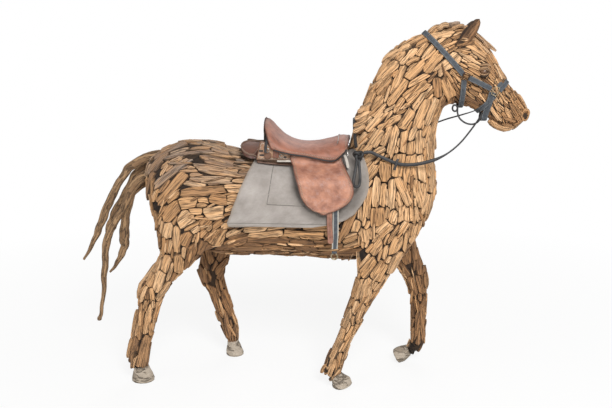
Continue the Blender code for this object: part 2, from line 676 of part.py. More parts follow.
def frame_tubes():
    """Each tube of the frame: its path and its radius."""
    tubes = {"spine": ([Vector((SPINE_REAR_X, 0, SPINE_HEIGHT)), Vector((SPINE_FRONT_X, 0, SPINE_HEIGHT))],
                       SPINE_RADIUS)}
    for name, x in (("hip", HIP_X), ("shoulder", SHOULDER_X)):
        tubes[name] = ([Vector((x, -CROSSBAR_HALF_LENGTH, SPINE_HEIGHT)),
                        Vector((x, CROSSBAR_HALF_LENGTH, SPINE_HEIGHT))], CROSSBAR_RADIUS)
    for name, leg in LEGS.items():
        side = -1 if name.startswith("right") else 1
        x = HIP_X if name.endswith("hind") else SHOULDER_X
        top = Vector((x, side * (CROSSBAR_HALF_LENGTH - LEG_ROD_RADIUS * 1.5), SPINE_HEIGHT))
        tubes[name] = (leg_rod_path(leg["rows"], top), LEG_ROD_RADIUS)
    neck = [Vector((SPINE_FRONT_X - 2 * NECK_ROD_RADIUS, 0, SPINE_HEIGHT))]
    for t in (12, 14, 16, 18, 20, 22):
        row = spline_value(BODY_STATIONS, t)
        neck.append(Vector(((row[0] + row[2]) / 2, 0, (row[1] + row[3]) / 2)))
    tubes["neck"] = (neck, NECK_ROD_RADIUS)
    return tubes


def build_frame(steel, sections, legs):
    """One welded steel frame, and in the wood a clearance bore round each of its tubes."""
    bores, tubes = {}, {}
    for name, (points, radius) in frame_tubes().items():
        longer = [points[0] + (points[0] - points[1]).normalized() * BORE_CLEARANCE] + points[1:-1]
        longer.append(points[-1] + (points[-1] - points[-2]).normalized() * BORE_CLEARANCE)
        bore_radii = [radius + BORE_CLEARANCE] * len(points)
        bores[name] = make_guide(tube_object(name + "_bore", longer, bore_radii, steel))
        tubes[name] = tube_object("steel_frame" if name == "spine" else name + "_tube", points,
                                  [radius] * len(points), steel)
    frame = tubes.pop("spine")
    join(frame, *[make_guide(tube) for tube in tubes.values()])
    cut_away(sections["rump"], bores["spine"], bores["hip"], bores["right_hind"], bores["left_hind"])
    cut_away(sections["barrel"], bores["spine"])
    cut_away(sections["chest"], bores["spine"], bores["shoulder"], bores["right_fore"], bores["left_fore"],
             bores["neck"])
    for name in ("neck_lower", "neck_upper", "head"):
        cut_away(sections[name], bores["neck"])
    for name, pieces in legs.items():
        for piece in pieces:
            cut_away(piece, bores[name])


# Laying tack on the body

def side_hit(tree, x, z, side):
    """Where the covered body's side lies at x and z, met from outside."""
    hit = tree.ray_cast(Vector((x, side * 2.0, z)), Vector((0.0, -side, 0.0)))[0]
    return hit if hit is not None else Vector((x, 0.0, z))


def drape(tree, x, turn, lift):
    """A point over the back, `turn` radians from its top, `lift` outside the covered body."""
    low, high = BODY_STATIONS[SADDLE_STATION][3], BODY_STATIONS[SADDLE_STATION][1]
    axis = Vector((x, 0.0, low + (high - low) * DRAPE_SHARE))
    ray = Vector((0.0, math.sin(turn), math.cos(turn)))
    return tree.ray_cast(axis, ray)[0] + ray * lift


def drape_at_height(tree, x, z, side, lift):
    """The same, found by its height; below the drape's axis it hangs plumb."""
    low, high = 0.0, math.pi / 2
    widest = drape(tree, x, side * high, lift)
    if z <= widest.z:
        return Vector((x, widest.y, z))
    for _ in range(24):
        middle = (low + high) / 2
        if drape(tree, x, side * middle, lift).z > z:
            low = middle
        else:
            high = middle
    point = drape(tree, x, side * low, lift)
    return Vector((x, point.y, z))


def slab(name, inner, outer, material, smooth_degrees=40):
    """A closed slab between two grids of points with the same rows and columns."""
    bm = bmesh.new()
    sheets = [[[bm.verts.new(p) for p in row] for row in grid] for grid in (inner, outer)]
    for sheet in sheets:
        for low, high in zip(sheet, sheet[1:]):
            for i in range(len(low) - 1):
                bm.faces.new((low[i], low[i + 1], high[i + 1], high[i]))
    def rim(grid):
        last = len(grid[0]) - 1
        right = [row[last] for row in grid[1:-1]]
        left = [row[0] for row in reversed(grid[1:-1])]
        return grid[0] + right + list(reversed(grid[-1])) + left
    edge_in, edge_out = rim(sheets[0]), rim(sheets[1])
    count = len(edge_in)
    for i in range(count):
        bm.faces.new((edge_in[i], edge_in[(i + 1) % count], edge_out[(i + 1) % count], edge_out[i]))
    return new_object(name, bm, material, smooth_degrees)


def spread(low, high, count):
    return [low + (high - low) * i / (count - 1) for i in range(count)]


def build_cloth(tree, canvas):
    """The canvas cloth: over the back, then plumb down both sides, its hem cut to the outline."""
    columns = 10
    grids = []
    for lift in (LAY_CLEARANCE, LAY_CLEARANCE + CLOTH_THICKNESS):
        halves = {}
        for side in (-1, 1):
            rows = [[drape(tree, x, side * math.radians(turn), lift) for x in spread(rear, front, columns)]
                    for turn, rear, front in CLOTH_EDGES]
            rows += [[drape_at_height(tree, x, z, side, lift) for x in spread(rear, front, columns)]
                     for z, rear, front in CLOTH_HEM_EDGES]
            halves[side] = rows
        grids.append(list(reversed(halves[-1])) + halves[1][1:])
    slab("saddle_cloth", grids[0], grids[1], canvas)


def build_boards(tree, leather):
    """The saddle's two bearing boards, with round rear ends, on the cloth."""
    boards = []
    for side, label in ((-1, "right"), (1, "left")):
        middle = (BOARD_INNER_TURN + BOARD_OUTER_TURN) / 2
        half = (BOARD_OUTER_TURN - BOARD_INNER_TURN) / 2
        grids = []
        for lift in (BOARD_LIFT, BOARD_LIFT + BOARD_THICKNESS):
            grid = []
            for x in spread(BOARD_REAR_X, BOARD_FRONT_X, 11):
                from_end = min((x - BOARD_REAR_X) / BOARD_ROUNDING, 1.0)
                share = math.sqrt(max(1.0 - (1.0 - from_end) ** 2, 0.12))
                ends = (middle - half * share, middle + half * share)
                grid.append([drape(tree, x, side * math.radians(a), lift) for a in spread(*ends, 5)])
            grids.append(grid)
        boards.append(slab(label + "_bearing_board", grids[0], grids[1], leather))
    return boards


def board_top(tree, x, turn_degrees, side, above=0.0):
    lift = BOARD_LIFT + BOARD_THICKNESS + LAY_CLEARANCE + above
    return drape(tree, x, side * math.radians(turn_degrees), lift)


def seat_point(x, share, depth):
    """The seat's surface: share -1 to 1 from its right lower edge to its left one."""
    top = line_value(SEAT_TOP_LINE, x)
    edge = line_value(SEAT_LOWER_EDGE, x)
    reach = abs(share)
    y = SEAT_HALF_SPAN * math.sin(math.pi / 2 * reach) ** 0.92 * (1 if share > 0 else -1)
    z = edge + (top - edge) * math.cos(math.pi / 2 * reach) ** 0.9
    inset = depth * Vector((0.0, -math.sin(math.pi / 2 * share), -math.cos(math.pi / 2 * share)))
    return Vector((x, y, z)) + inset


def build_seat(leather):
    xs = [row[0] for row in SEAT_TOP_LINE]
    shares = spread(-1.0, 1.0, SEAT_SHARES)
    outer = [[seat_point(x, s, 0.0) for s in shares] for x in xs]
    inner = [[seat_point(x, s, SEAT_THICKNESS) for s in shares] for x in xs]
    return slab("seat", inner, outer, leather)


def build_cantle(leather):
    """The high rear plate of the seat: a rounded arch that leans back a little."""
    grids = []
    top = Vector((CANTLE_TOP[0], 0.0, CANTLE_TOP[1]))
    for back in (FIT_GAP, CANTLE_THICKNESS):
        grid = []
        for share in spread(-1.0, 1.0, 13):
            y = CANTLE_HALF_SPAN * math.sin(math.pi / 2 * share)
            z_top = top.z - CANTLE_DROP * (1.0 - math.cos(math.pi / 2 * share))
            z_low = z_top - CANTLE_DEPTH * (1.0 - 0.62 * abs(share))
            rows = []
            for k in range(3):
                z = z_top + (z_low - z_top) * k / 2
                rows.append(Vector((SEAT_TOP_LINE[0][0] - back - CANTLE_LEAN * k / 2, y, z)))
            grid.append(rows)
        grids.append(grid)
    return slab("cantle", grids[0], grids[1], leather)


def build_arches(tree, steel):
    """Forks that stand on the two boards, over the withers and the back, and carry the seat."""
    reach = SEAT_SHARES // 4
    shares = [share for share in spread(-1.0, 1.0, SEAT_SHARES)][reach:-reach]
    arches = []
    for name, x in (("pommel_arch", POMMEL_ARCH_X), ("cantle_arch", CANTLE_ARCH_X)):
        xs = [x - ARCH_WIDTH / 2, x, x + ARCH_WIDTH / 2]
        feet = [[board_top(tree, x, ARCH_TURN * share / shares[-1], 1) for x in xs] for share in shares]
        top = [[seat_point(x, share, SEAT_THICKNESS + ARCH_GAP) for x in xs] for share in shares]
        arches.append(slab(name, feet, top, steel))
    return arches


def strap_inner(tree):
    """How far out the hanging straps' inner face is: clear of the cloth along the flap's length."""
    lift = CLOTH_THICKNESS + 2 * LAY_CLEARANCE
    return max(drape(tree, x, math.pi / 2, lift).y for x in spread(FLAP_REAR_EDGE[0][0], FLAP_FRONT_EDGE[2][0], 4))


def flap_hinge_side():
    """How far out the flap's inner face is at its hinge, tucked inside the seat's edge."""
    return SEAT_HALF_SPAN - SEAT_THICKNESS - FLAP_THICKNESS - FLAP_TUCK


def flap_hinge_height():
    return min(z for x, z in SEAT_LOWER_EDGE) - FLAP_HINGE_DROP


def flap_distance(tree, z):
    """How far out the flap's inner face is at a height: it bends over the board, then hangs plumb."""
    plumb = strap_inner(tree) + 2 * STRAP_THICKNESS + PIN_HEAD + 2 * LAY_CLEARANCE
    hinge = flap_hinge_side()
    share = (flap_hinge_height() - z) / FLAP_BEND
    return hinge + (plumb - hinge) * math.sin(math.pi / 2 * min(max(share, 0.0), 1.0))


def build_flaps(tree, leather):
    """The flaps, from under the seat's edge down: bent over the board, then plumb."""
    hinge = flap_hinge_height()
    heights = [hinge - FLAP_BEND * k / 4 for k in range(5)]
    heights += [hinge - FLAP_LENGTH + (FLAP_LENGTH - FLAP_BEND) * k for k in (0.68, 0.4, 0.2, 0.08, 0.0)]
    flaps = {}
    for side, label in ((-1, "right"), (1, "left")):
        grids = []
        for lift in (0.0, FLAP_THICKNESS):
            grid = []
            for z in heights:
                y = side * (flap_distance(tree, z) + lift)
                rear = line_value(FLAP_REAR_EDGE, z, key=1, value=0)
                front = line_value(FLAP_FRONT_EDGE, z, key=1, value=0)
                grid.append([Vector((x, y, z)) for x in spread(rear, front, 7)])
            tucked = [Vector((p.x, p.y, line_value(SEAT_LOWER_EDGE, p.x) + FLAP_TUCK)) for p in grid[0]]
            grids.append([tucked] + grid)
        flaps[label] = slab("saddle_flap_" + label, grids[0], grids[1], leather)
    return flaps


def plate_between(name, outline, y0, y1, material, hole):
    """An upright plate with a side outline, from y0 to y1."""
    bm = bmesh.new()
    faces = [[bm.verts.new((x, y, z)) for x, z in outline] for y in (y0, y1)]
    count = len(outline)
    for i in range(count):
        bm.faces.new((faces[0][i], faces[0][(i + 1) % count], faces[1][(i + 1) % count], faces[1][i]))
    bm.faces.new(list(reversed(faces[0])))
    bm.faces.new(faces[1])
    plate = new_object(name, bm, material, 40)
    cut_away(plate, hole)
    return plate


def across_tube(name, x, z, y0, y1, radius, material, sides=10):
    return tube_object(name, [(x, y0, z), (x, y1, z)], [radius, radius], material, sides)


def strap_outline(x, half_width, top, bottom, point):
    """A hanging strap seen from the side: a round top, straight edges and a tapered tip."""
    arc = [(x + half_width * math.cos(a), top - half_width + half_width * math.sin(a))
           for a in spread(0.0, math.pi, 7)]
    return arc + [(x - half_width, bottom + point), (x - half_width * 0.35, bottom),
                  (x + half_width * 0.35, bottom), (x + half_width, bottom + point)]


def ring_object(name, centre, material, around=12, sides=6):
    """A round wire ring in the plane of the side view."""
    bm = bmesh.new()
    grid = []
    for i in range(around):
        a = math.tau * i / around
        out = Vector((math.cos(a), 0.0, math.sin(a)))
        ring = []
        for k in range(sides):
            b = math.tau * k / sides
            ring.append(bm.verts.new(centre + out * (RING_RADIUS + RING_WIRE_RADIUS * math.cos(b))
                                     + Vector((0.0, RING_WIRE_RADIUS * math.sin(b), 0.0))))
        grid.append(ring)
    for i in range(around):
        low, high = grid[i], grid[(i + 1) % around]
        for k in range(sides):
            bm.faces.new((low[k], low[(k + 1) % sides], high[(k + 1) % sides], high[k]))
    return new_object(name, bm, material, 60)


def board_edge(tree):
    """The middle of the board's outer edge, above the hanging straps."""
    turn = math.radians(BOARD_OUTER_TURN + HANGER_TURN)
    return drape(tree, STRAP_X, turn, BOARD_LIFT + BOARD_THICKNESS / 2)


def strap_pivot_height(tree):
    return board_edge(tree).z - STRAP_PIVOT_DROP


def build_hanging_straps(tree, leather, webbing, steel):
    """On each side a web strap with its ring and a leather billet, both on one pin under the flap."""
    inner = strap_inner(tree)
    pivot = strap_pivot_height(tree)
    end = pivot - STRAP_LENGTH
    web_y = (inner, inner + STRAP_THICKNESS)
    billet_y = (web_y[1] + FIT_GAP, web_y[1] + FIT_GAP + STRAP_THICKNESS)
    pieces = {}
    for side, label in ((-1, "right"), (1, "left")):
        hole = make_guide(across_tube("pin_hole_" + label, STRAP_X, pivot, side * (inner - 0.02),
                                      side * (inner + 0.03), STRAP_PIN_RADIUS + 2 * FIT_GAP, steel))
        outline = strap_outline(STRAP_X, WEB_WIDTH / 2, pivot + WEB_WIDTH / 2, end, WEB_WIDTH)
        web = plate_between("web_strap_" + label, outline, side * web_y[0], side * web_y[1], webbing, hole)
        outline = strap_outline(STRAP_X, BILLET_WIDTH / 2, pivot + BILLET_WIDTH / 2, end + BILLET_SHORTER,
                                BILLET_POINT)
        billet = plate_between("leather_billet_" + label, outline, side * billet_y[0], side * billet_y[1],
                               leather, hole)
        loop_at = Vector((STRAP_X, side * (inner + loop_radius()), end))
        roll_web_end(web, label, loop_at, webbing)
        ring = ring_object("strap_ring_" + label, loop_at - Vector((0.0, 0.0, RING_RADIUS)), steel)
        hanger = build_strap_hanger(tree, label, side, inner - LAY_CLEARANCE, billet_y[1] + PIN_HEAD, steel)
        pieces[label] = {"web": web, "billet": billet, "ring": ring, "hanger": hanger, "loop_at": loop_at}
    return pieces


def loop_radius():
    return RING_WIRE_RADIUS + RING_PLAY + RING_LOOP_WALL


def roll_web_end(web, label, at, webbing):
    """The web's end, rolled round the ring's wire: a short sleeve along X."""
    ends = [at + Vector((RING_LOOP_LENGTH / 2 * k, 0.0, 0.0)) for k in (-1, 1)]
    sleeve = make_guide(tube_object("web_loop_" + label, ends, [loop_radius()] * 2, webbing, 10))
    join(web, sleeve)
    bore = RING_WIRE_RADIUS + RING_PLAY
    longer = [at + Vector((RING_LOOP_LENGTH * k, 0.0, 0.0)) for k in (-1, 1)]
    cut_away(web, make_guide(tube_object("web_loop_hole_" + label, longer, [bore] * 2, webbing, 10)))


def build_strap_hanger(tree, label, side, plate_y, pin_end, steel):
    """A steel hanger: a plate from the board's outer edge, with the pin that the straps swing on."""
    edge = board_edge(tree)
    pivot = strap_pivot_height(tree)
    down = Vector((0.0, -HANGER_THICKNESS * 0.7, -HANGER_THICKNESS * 0.7))
    bm = bmesh.new()
    rings = []
    for y, z in ((edge.y, edge.z), (plate_y, pivot + HANGER_ABOVE_PIN), (plate_y, pivot - HANGER_BELOW_PIN)):
        corners = [Vector((STRAP_X + x, y, z)) for x in (-HANGER_WIDTH / 2, HANGER_WIDTH / 2)]
        ring = corners + [corner + down for corner in reversed(corners)]
        rings.append([Vector((p.x, side * p.y, p.z)) for p in ring])
    loft(bm, rings)
    hanger = new_object("strap_hanger_" + label, bm, steel, 40)
    pin = make_guide(across_tube("hanger_pin_" + label, STRAP_X, pivot,
                                 side * (plate_y - HANGER_THICKNESS / 2), side * pin_end, STRAP_PIN_RADIUS, steel))
    join(hanger, pin)
    return hanger


# Headcollar

def band_strap(name, tree, centre, top, from_degrees, to_degrees, material, count, lift=LAY_CLEARANCE):
    """A strap round the head in a slanting plane: 0 degrees at its top, + towards the left side."""
    centre = Vector((centre[0], 0.0, centre[1]))
    toward = (Vector((top[0], 0.0, top[1])) - centre).normalized()
    across = toward.cross(Vector((0.0, 1.0, 0.0)))
    grids = []
    for height in (lift, lift + COLLAR_THICKNESS):
        grid = []
        for degrees in spread(from_degrees, to_degrees, count):
            a = math.radians(degrees)
            ray = toward * math.cos(a) + Vector((0.0, math.sin(a), 0.0))
            row = []
            for edge in (-0.5, 0.0, 0.5):
                start = centre + across * COLLAR_WIDTH * edge
                row.append(tree.ray_cast(start, ray)[0] + ray * height)
            grid.append(row)
        grids.append(grid)
    return slab(name, grids[0], grids[1], material)


def side_strap(name, tree, side, start, end, material, count=6, width=COLLAR_WIDTH):
    """A strap along one side of the head between two points of the side view."""
    a, b = Vector(start), Vector(end)
    square = Vector((-(b - a).y, (b - a).x)).normalized() * width / 2
    grids = []
    for height in (LAY_CLEARANCE, LAY_CLEARANCE + COLLAR_THICKNESS):
        grid = []
        for share in spread(0.0, 1.0, count):
            row = []
            for edge in (-1.0, 0.0, 1.0):
                at = a.lerp(b, share) + square * edge
                row.append(side_hit(tree, at.x, at.y, side) + Vector((0.0, side * height, 0.0)))
            grid.append(row)
        grids.append(grid)
    return slab(name, grids[0], grids[1], material)


def square_ring(name, tree, side, at, along, material):
    """A square steel ring lying against the side of the head."""
    a = Vector(along).normalized()
    b = Vector((-a.y, a.x))
    corners = [(-1, -1), (1, -1), (1, 1), (-1, 1)]
    bm = bmesh.new()
    half = SQUARE_RING_SIZE / 2
    hits = []
    for u, v in corners:
        p = Vector(at) + a * u * half + b * v * half
        hits.append(abs(side_hit(tree, p.x, p.y, side).y))
    y0 = max(hits + [abs(side_hit(tree, at[0], at[1], side).y)]) + LAY_CLEARANCE
    loops = []
    for reach in (half, half - SQUARE_RING_BAR):
        for y in (y0, y0 + SQUARE_RING_BAR * 0.8):
            loop = []
            for u, v in corners:
                p = Vector(at) + a * u * reach + b * v * reach
                loop.append(bm.verts.new((p.x, side * y, p.y)))
            loops.append(loop)
    out_low, out_high, in_low, in_high = loops
    for first, second in ((out_low, out_high), (out_high, in_high), (in_high, in_low), (in_low, out_low)):
        for i in range(4):
            bm.faces.new((first[i], first[(i + 1) % 4], second[(i + 1) % 4], second[i]))
    return new_object(name, bm, material, 40)


def build_headcollar(tree, webbing, steel):
    """Crown strap, noseband, chin strap, throat strap and two cheek straps, joined by square rings."""
    band_strap("crown_strap", tree, CROWN_CENTRE, CROWN_TOP, -122, 122, webbing, 17)
    band_strap("noseband", tree, NOSE_CENTRE, NOSE_TOP, -62, 62, webbing, 9)
    band_strap("chin_strap", tree, NOSE_CENTRE, NOSE_TOP, 104, 256, webbing, 13)
    band_strap("throat_strap", tree, THROAT_CENTRE, THROAT_TOP, 108, 252, webbing, 13)
    ahead = Vector(NOSE_RING_AT) - Vector(CHEEK_RING_AT)
    step = ahead.normalized() * (SQUARE_RING_SIZE / 2 + FIT_GAP * 3)
    for side, label in ((-1, "right"), (1, "left")):
        start = Vector(CHEEK_RING_AT) + step
        end = Vector(NOSE_RING_AT) - step
        side_strap("cheek_strap_" + label, tree, side, start, end, webbing)
        square_ring("cheek_ring_" + label, tree, side, CHEEK_RING_AT, ahead, steel)
        square_ring("nose_ring_" + label, tree, side, NOSE_RING_AT, ahead, steel)


# Reins

def cord_object(name, route, radius, material):
    """A plain round tube on a smooth curve through the route."""
    rows = [tuple(p) for p in route]
    length = sum((Vector(q) - Vector(p)).length for p, q in zip(rows, rows[1:]))
    count = max(int(length / (radius * 6)), 8)
    points = [Vector(spline_value(rows, (len(rows) - 1) * k / count)) for k in range(count + 1)]
    curve = bpy.data.curves.new(name, "CURVE")
    curve.dimensions = "3D"
    curve.bevel_depth = radius
    curve.bevel_resolution = 2
    curve.use_fill_caps = True
    curve.resolution_u = 1
    curve.render_resolution_u = 0
    spline = curve.splines.new("POLY")
    spline.points.add(len(points) - 1)
    for target, point in zip(spline.points, points):
        target.co = (*point, 1.0)
    curve.materials.append(material)
    obj = bpy.data.objects.new(name, curve)
    bpy.context.scene.collection.objects.link(obj)
    return obj


def build_reins(leather):
    cord_object("rein_right", REIN_RIGHT_ROUTE, REIN_RADIUS, leather)
    cord_object("rein_left", REIN_LEFT_ROUTE, REIN_RADIUS, leather)
    cord_object("rein_tail_loop", REIN_TAIL_ROUTE, REIN_RADIUS, leather)
    cord_object("jaw_loop", JAW_LOOP_ROUTE, REIN_RADIUS * 0.7, leather)
    bm = bmesh.new()
    bmesh.ops.create_icosphere(bm, subdivisions=2, radius=KNOT_RADIUS)
    bmesh.ops.transform(bm, matrix=Matrix.Translation(KNOT_AT) @ Matrix.Diagonal((0.85, 0.7, 1.0, 1.0)),
                        verts=bm.verts)
    new_object("rein_knot", bm, leather, 60)


def put_on_axis(name, at, pieces):
    """An empty on a joint's axis, which carries the pieces that move with it."""
    axis = bpy.data.objects.new(name, None)
    axis.empty_display_size = 0.05
    axis.location = at
    bpy.context.scene.collection.objects.link(axis)
    for piece in pieces:
        piece.parent = axis
        piece.matrix_parent_inverse = Matrix.Translation(at).inverted()


def build_saddle(tree, mats):
    boards = build_boards(tree, mats["saddle_leather"])
    arches = build_arches(tree, mats["frame_steel"])
    seat = build_seat(mats["saddle_leather"])
    cantle = build_cantle(mats["saddle_leather"])
    flaps = build_flaps(tree, mats["saddle_leather"])
    straps = build_hanging_straps(tree, mats["saddle_leather"], mats["webbing"], mats["bright_steel"])
    hangers = [pieces["hanger"] for pieces in straps.values()]
    put_on_axis("saddle_axis", Vector((POMMEL_ARCH_X, 0.0, flap_hinge_height())),
                boards + arches + [seat, cantle] + hangers)
    for side, label in ((-1, "right"), (1, "left")):
        pieces = straps[label]
        flap_axis = Vector((STRAP_X, side * flap_hinge_side(), flap_hinge_height()))
        put_on_axis("flap_axis_" + label, flap_axis, [flaps[label]])
        strap_axis = Vector((STRAP_X, pieces["loop_at"].y, strap_pivot_height(tree)))
        put_on_axis("strap_axis_" + label, strap_axis, [pieces["web"], pieces["billet"]])
        put_on_axis("ring_axis_" + label, pieces["loop_at"], [pieces["ring"]])


def build():
    for obj in list(bpy.data.objects):
        bpy.data.objects.remove(obj, do_unlink=True)
    mats = make_materials()
    rng = random.Random(7)
    cutter = make_guide(new_object("body_cutter", body_cover(FIT_GAP), mats["frame_steel"]))
    cover = body_cover(0.0)
    tree = BVHTree.FromBMesh(cover)
    cover.free()

    sections = build_body(mats["driftwood"], rng)
    legs = build_legs(mats["driftwood"], mats["pale_wood"], cutter, rng)
    build_ears(mats["driftwood"], cutter)
    build_eyes(mats["driftwood"], tree, cutter)
    build_tail(mats["driftwood"], cutter)
    build_frame(mats["frame_steel"], sections, legs)

    build_cloth(tree, mats["canvas"])
    build_saddle(tree, mats)
    build_headcollar(tree, mats["webbing"], mats["bright_steel"])
    build_reins(mats["rein_leather"])


build()
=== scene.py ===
import bmesh
import bpy
import itertools
import json
import math
import numpy as np
import random
from mathutils import Matrix, Vector, noise
from mathutils.bvhtree import BVHTree
from mathutils.kdtree import KDTree

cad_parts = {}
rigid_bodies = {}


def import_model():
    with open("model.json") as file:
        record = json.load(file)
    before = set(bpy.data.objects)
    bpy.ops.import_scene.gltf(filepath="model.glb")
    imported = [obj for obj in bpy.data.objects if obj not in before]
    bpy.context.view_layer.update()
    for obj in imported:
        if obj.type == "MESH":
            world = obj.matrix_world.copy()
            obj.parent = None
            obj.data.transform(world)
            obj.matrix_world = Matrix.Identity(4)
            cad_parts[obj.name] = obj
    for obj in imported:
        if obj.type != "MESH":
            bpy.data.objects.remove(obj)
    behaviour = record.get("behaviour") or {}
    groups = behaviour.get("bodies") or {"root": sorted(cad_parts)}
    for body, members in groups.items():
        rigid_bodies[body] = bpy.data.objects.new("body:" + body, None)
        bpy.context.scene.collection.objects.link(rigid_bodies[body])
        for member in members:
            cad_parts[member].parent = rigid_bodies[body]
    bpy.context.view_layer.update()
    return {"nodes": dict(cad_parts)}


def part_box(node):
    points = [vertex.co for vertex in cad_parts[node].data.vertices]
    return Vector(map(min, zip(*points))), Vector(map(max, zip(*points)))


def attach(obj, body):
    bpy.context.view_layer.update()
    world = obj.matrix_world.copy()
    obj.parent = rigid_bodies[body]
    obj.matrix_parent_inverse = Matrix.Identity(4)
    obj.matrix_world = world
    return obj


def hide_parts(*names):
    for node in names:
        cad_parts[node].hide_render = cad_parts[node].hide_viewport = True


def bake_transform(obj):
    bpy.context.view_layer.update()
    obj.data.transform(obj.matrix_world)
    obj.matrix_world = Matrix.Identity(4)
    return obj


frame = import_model()
sides = (("right", -1), ("left", 1))


# Camera at the photograph's viewing angle

view = {"at": (0.3688, -3.5863, 1.622), "down": 11.0, "turn": 5.0, "lens": 41.47}
camera = bpy.data.objects.new("camera", bpy.data.cameras.new("camera"))
camera.data.lens = view["lens"]
camera.data.sensor_width = 36.0
camera.location = view["at"]
camera.rotation_euler = (math.radians(90 - view["down"]), 0, math.radians(view["turn"]))
bpy.context.scene.collection.objects.link(camera)
bpy.context.scene.camera = camera
print("camera set")


# Shader values that add and scale like numbers

class Value:
    def __init__(self, tree, socket):
        self.tree = tree
        self.socket = socket

    def maths(self, operation, *others, clamp=False):
        node = self.tree.nodes.new("ShaderNodeMath")
        node.operation = operation
        node.use_clamp = clamp
        for place, value in enumerate((self,) + others):
            if isinstance(value, Value):
                self.tree.links.new(value.socket, node.inputs[place])
            else:
                node.inputs[place].default_value = value
        return Value(self.tree, node.outputs[0])

    def __add__(self, other):
        return self.maths("ADD", other)

    def __sub__(self, other):
        return self.maths("SUBTRACT", other)

    def __mul__(self, other):
        return self.maths("MULTIPLY", other)

    def __truediv__(self, other):
        return self.maths("DIVIDE", other)

    def held(self):
        return self.maths("ADD", 0.0, clamp=True)

    def within(self, low, high):
        # 0 at low, 1 at high, held at both ends
        return ((self - low) / (high - low)).held()

    def wavy(self, period):
        # 0 to 1 and back once in each period
        return (self * (math.tau / period)).maths("SINE") * 0.5 + 0.5

    def near(self, place, width):
        # 1 in a band round a place, 0 outside it
        return ((self - place).maths("ABSOLUTE") * (-2.0 / width) + 1.6).held()


class Paint:
    # one material in the making: its tree, its shader and where its patterns lie
    def __init__(self, name, roughness=0.6, metallic=0.0, coords="Object"):
        self.material = bpy.data.materials.new(name)
        self.material.use_nodes = True
        self.tree = self.material.node_tree
        self.shader = self.tree.nodes["Principled BSDF"]
        self.shader.inputs["Roughness"].default_value = roughness
        self.shader.inputs["Metallic"].default_value = metallic
        self.place = self.tree.nodes.new("ShaderNodeTexCoord").outputs[coords]

    def moved(self, operation, where, by):
        # the place shifted or stretched by another value or place
        node = self.tree.nodes.new("ShaderNodeVectorMath")
        node.operation = operation
        self.tree.links.new(where, node.inputs[0])
        if isinstance(by, tuple):
            node.inputs[1].default_value = by
        else:
            self.tree.links.new(by, node.inputs[1])
        return node.outputs[0]

    def shifted(self, where, by):
        pack = self.tree.nodes.new("ShaderNodeCombineXYZ")
        for socket in pack.inputs:
            self.tree.links.new(by.socket, socket)
        return self.moved("ADD", where, pack.outputs[0])

    def stretched(self, where, by):
        return self.moved("MULTIPLY", where, by)

    def noise(self, where, size=1.0, detail=3.0, rough=0.6):
        node = self.tree.nodes.new("ShaderNodeTexNoise")
        node.inputs["Scale"].default_value = size
        node.inputs["Detail"].default_value = detail
        node.inputs["Roughness"].default_value = rough
        self.tree.links.new(where, node.inputs["Vector"])
        return Value(self.tree, node.outputs[0])

    def cells(self, where, size):
        node = self.tree.nodes.new("ShaderNodeTexVoronoi")
        node.inputs["Scale"].default_value = size
        self.tree.links.new(where, node.inputs["Vector"])
        return Value(self.tree, node.outputs[0])

    def part(self, where, axis):
        node = self.tree.nodes.new("ShaderNodeSeparateXYZ")
        self.tree.links.new(where, node.inputs[0])
        return Value(self.tree, node.outputs[axis])

    def marked(self, name, output="Fac"):
        node = self.tree.nodes.new("ShaderNodeAttribute")
        node.attribute_name = name
        if output == "Fac":
            return Value(self.tree, node.outputs["Fac"])
        return node.outputs[output]

    def mixed(self, amount, first, second):
        node = self.tree.nodes.new("ShaderNodeMix")
        node.data_type = "RGBA"
        self.tree.links.new(amount.socket, node.inputs[0])
        for place, colour in ((6, first), (7, second)):
            if isinstance(colour, tuple):
                node.inputs[place].default_value = (*colour, 1.0)
            else:
                self.tree.links.new(colour, node.inputs[place])
        return node.outputs[2]

    def coloured(self, colour):
        self.tree.links.new(colour, self.shader.inputs["Base Color"])

    def roughened(self, value):
        self.tree.links.new(value.socket, self.shader.inputs["Roughness"])

    def raised(self, height, distance, strength=1.0):
        node = self.tree.nodes.new("ShaderNodeBump")
        node.inputs["Distance"].default_value = distance
        node.inputs["Strength"].default_value = strength
        self.tree.links.new(height.socket, node.inputs["Height"])
        self.tree.links.new(node.outputs[0], self.shader.inputs["Normal"])


# Materials. Lengths in them are metres.

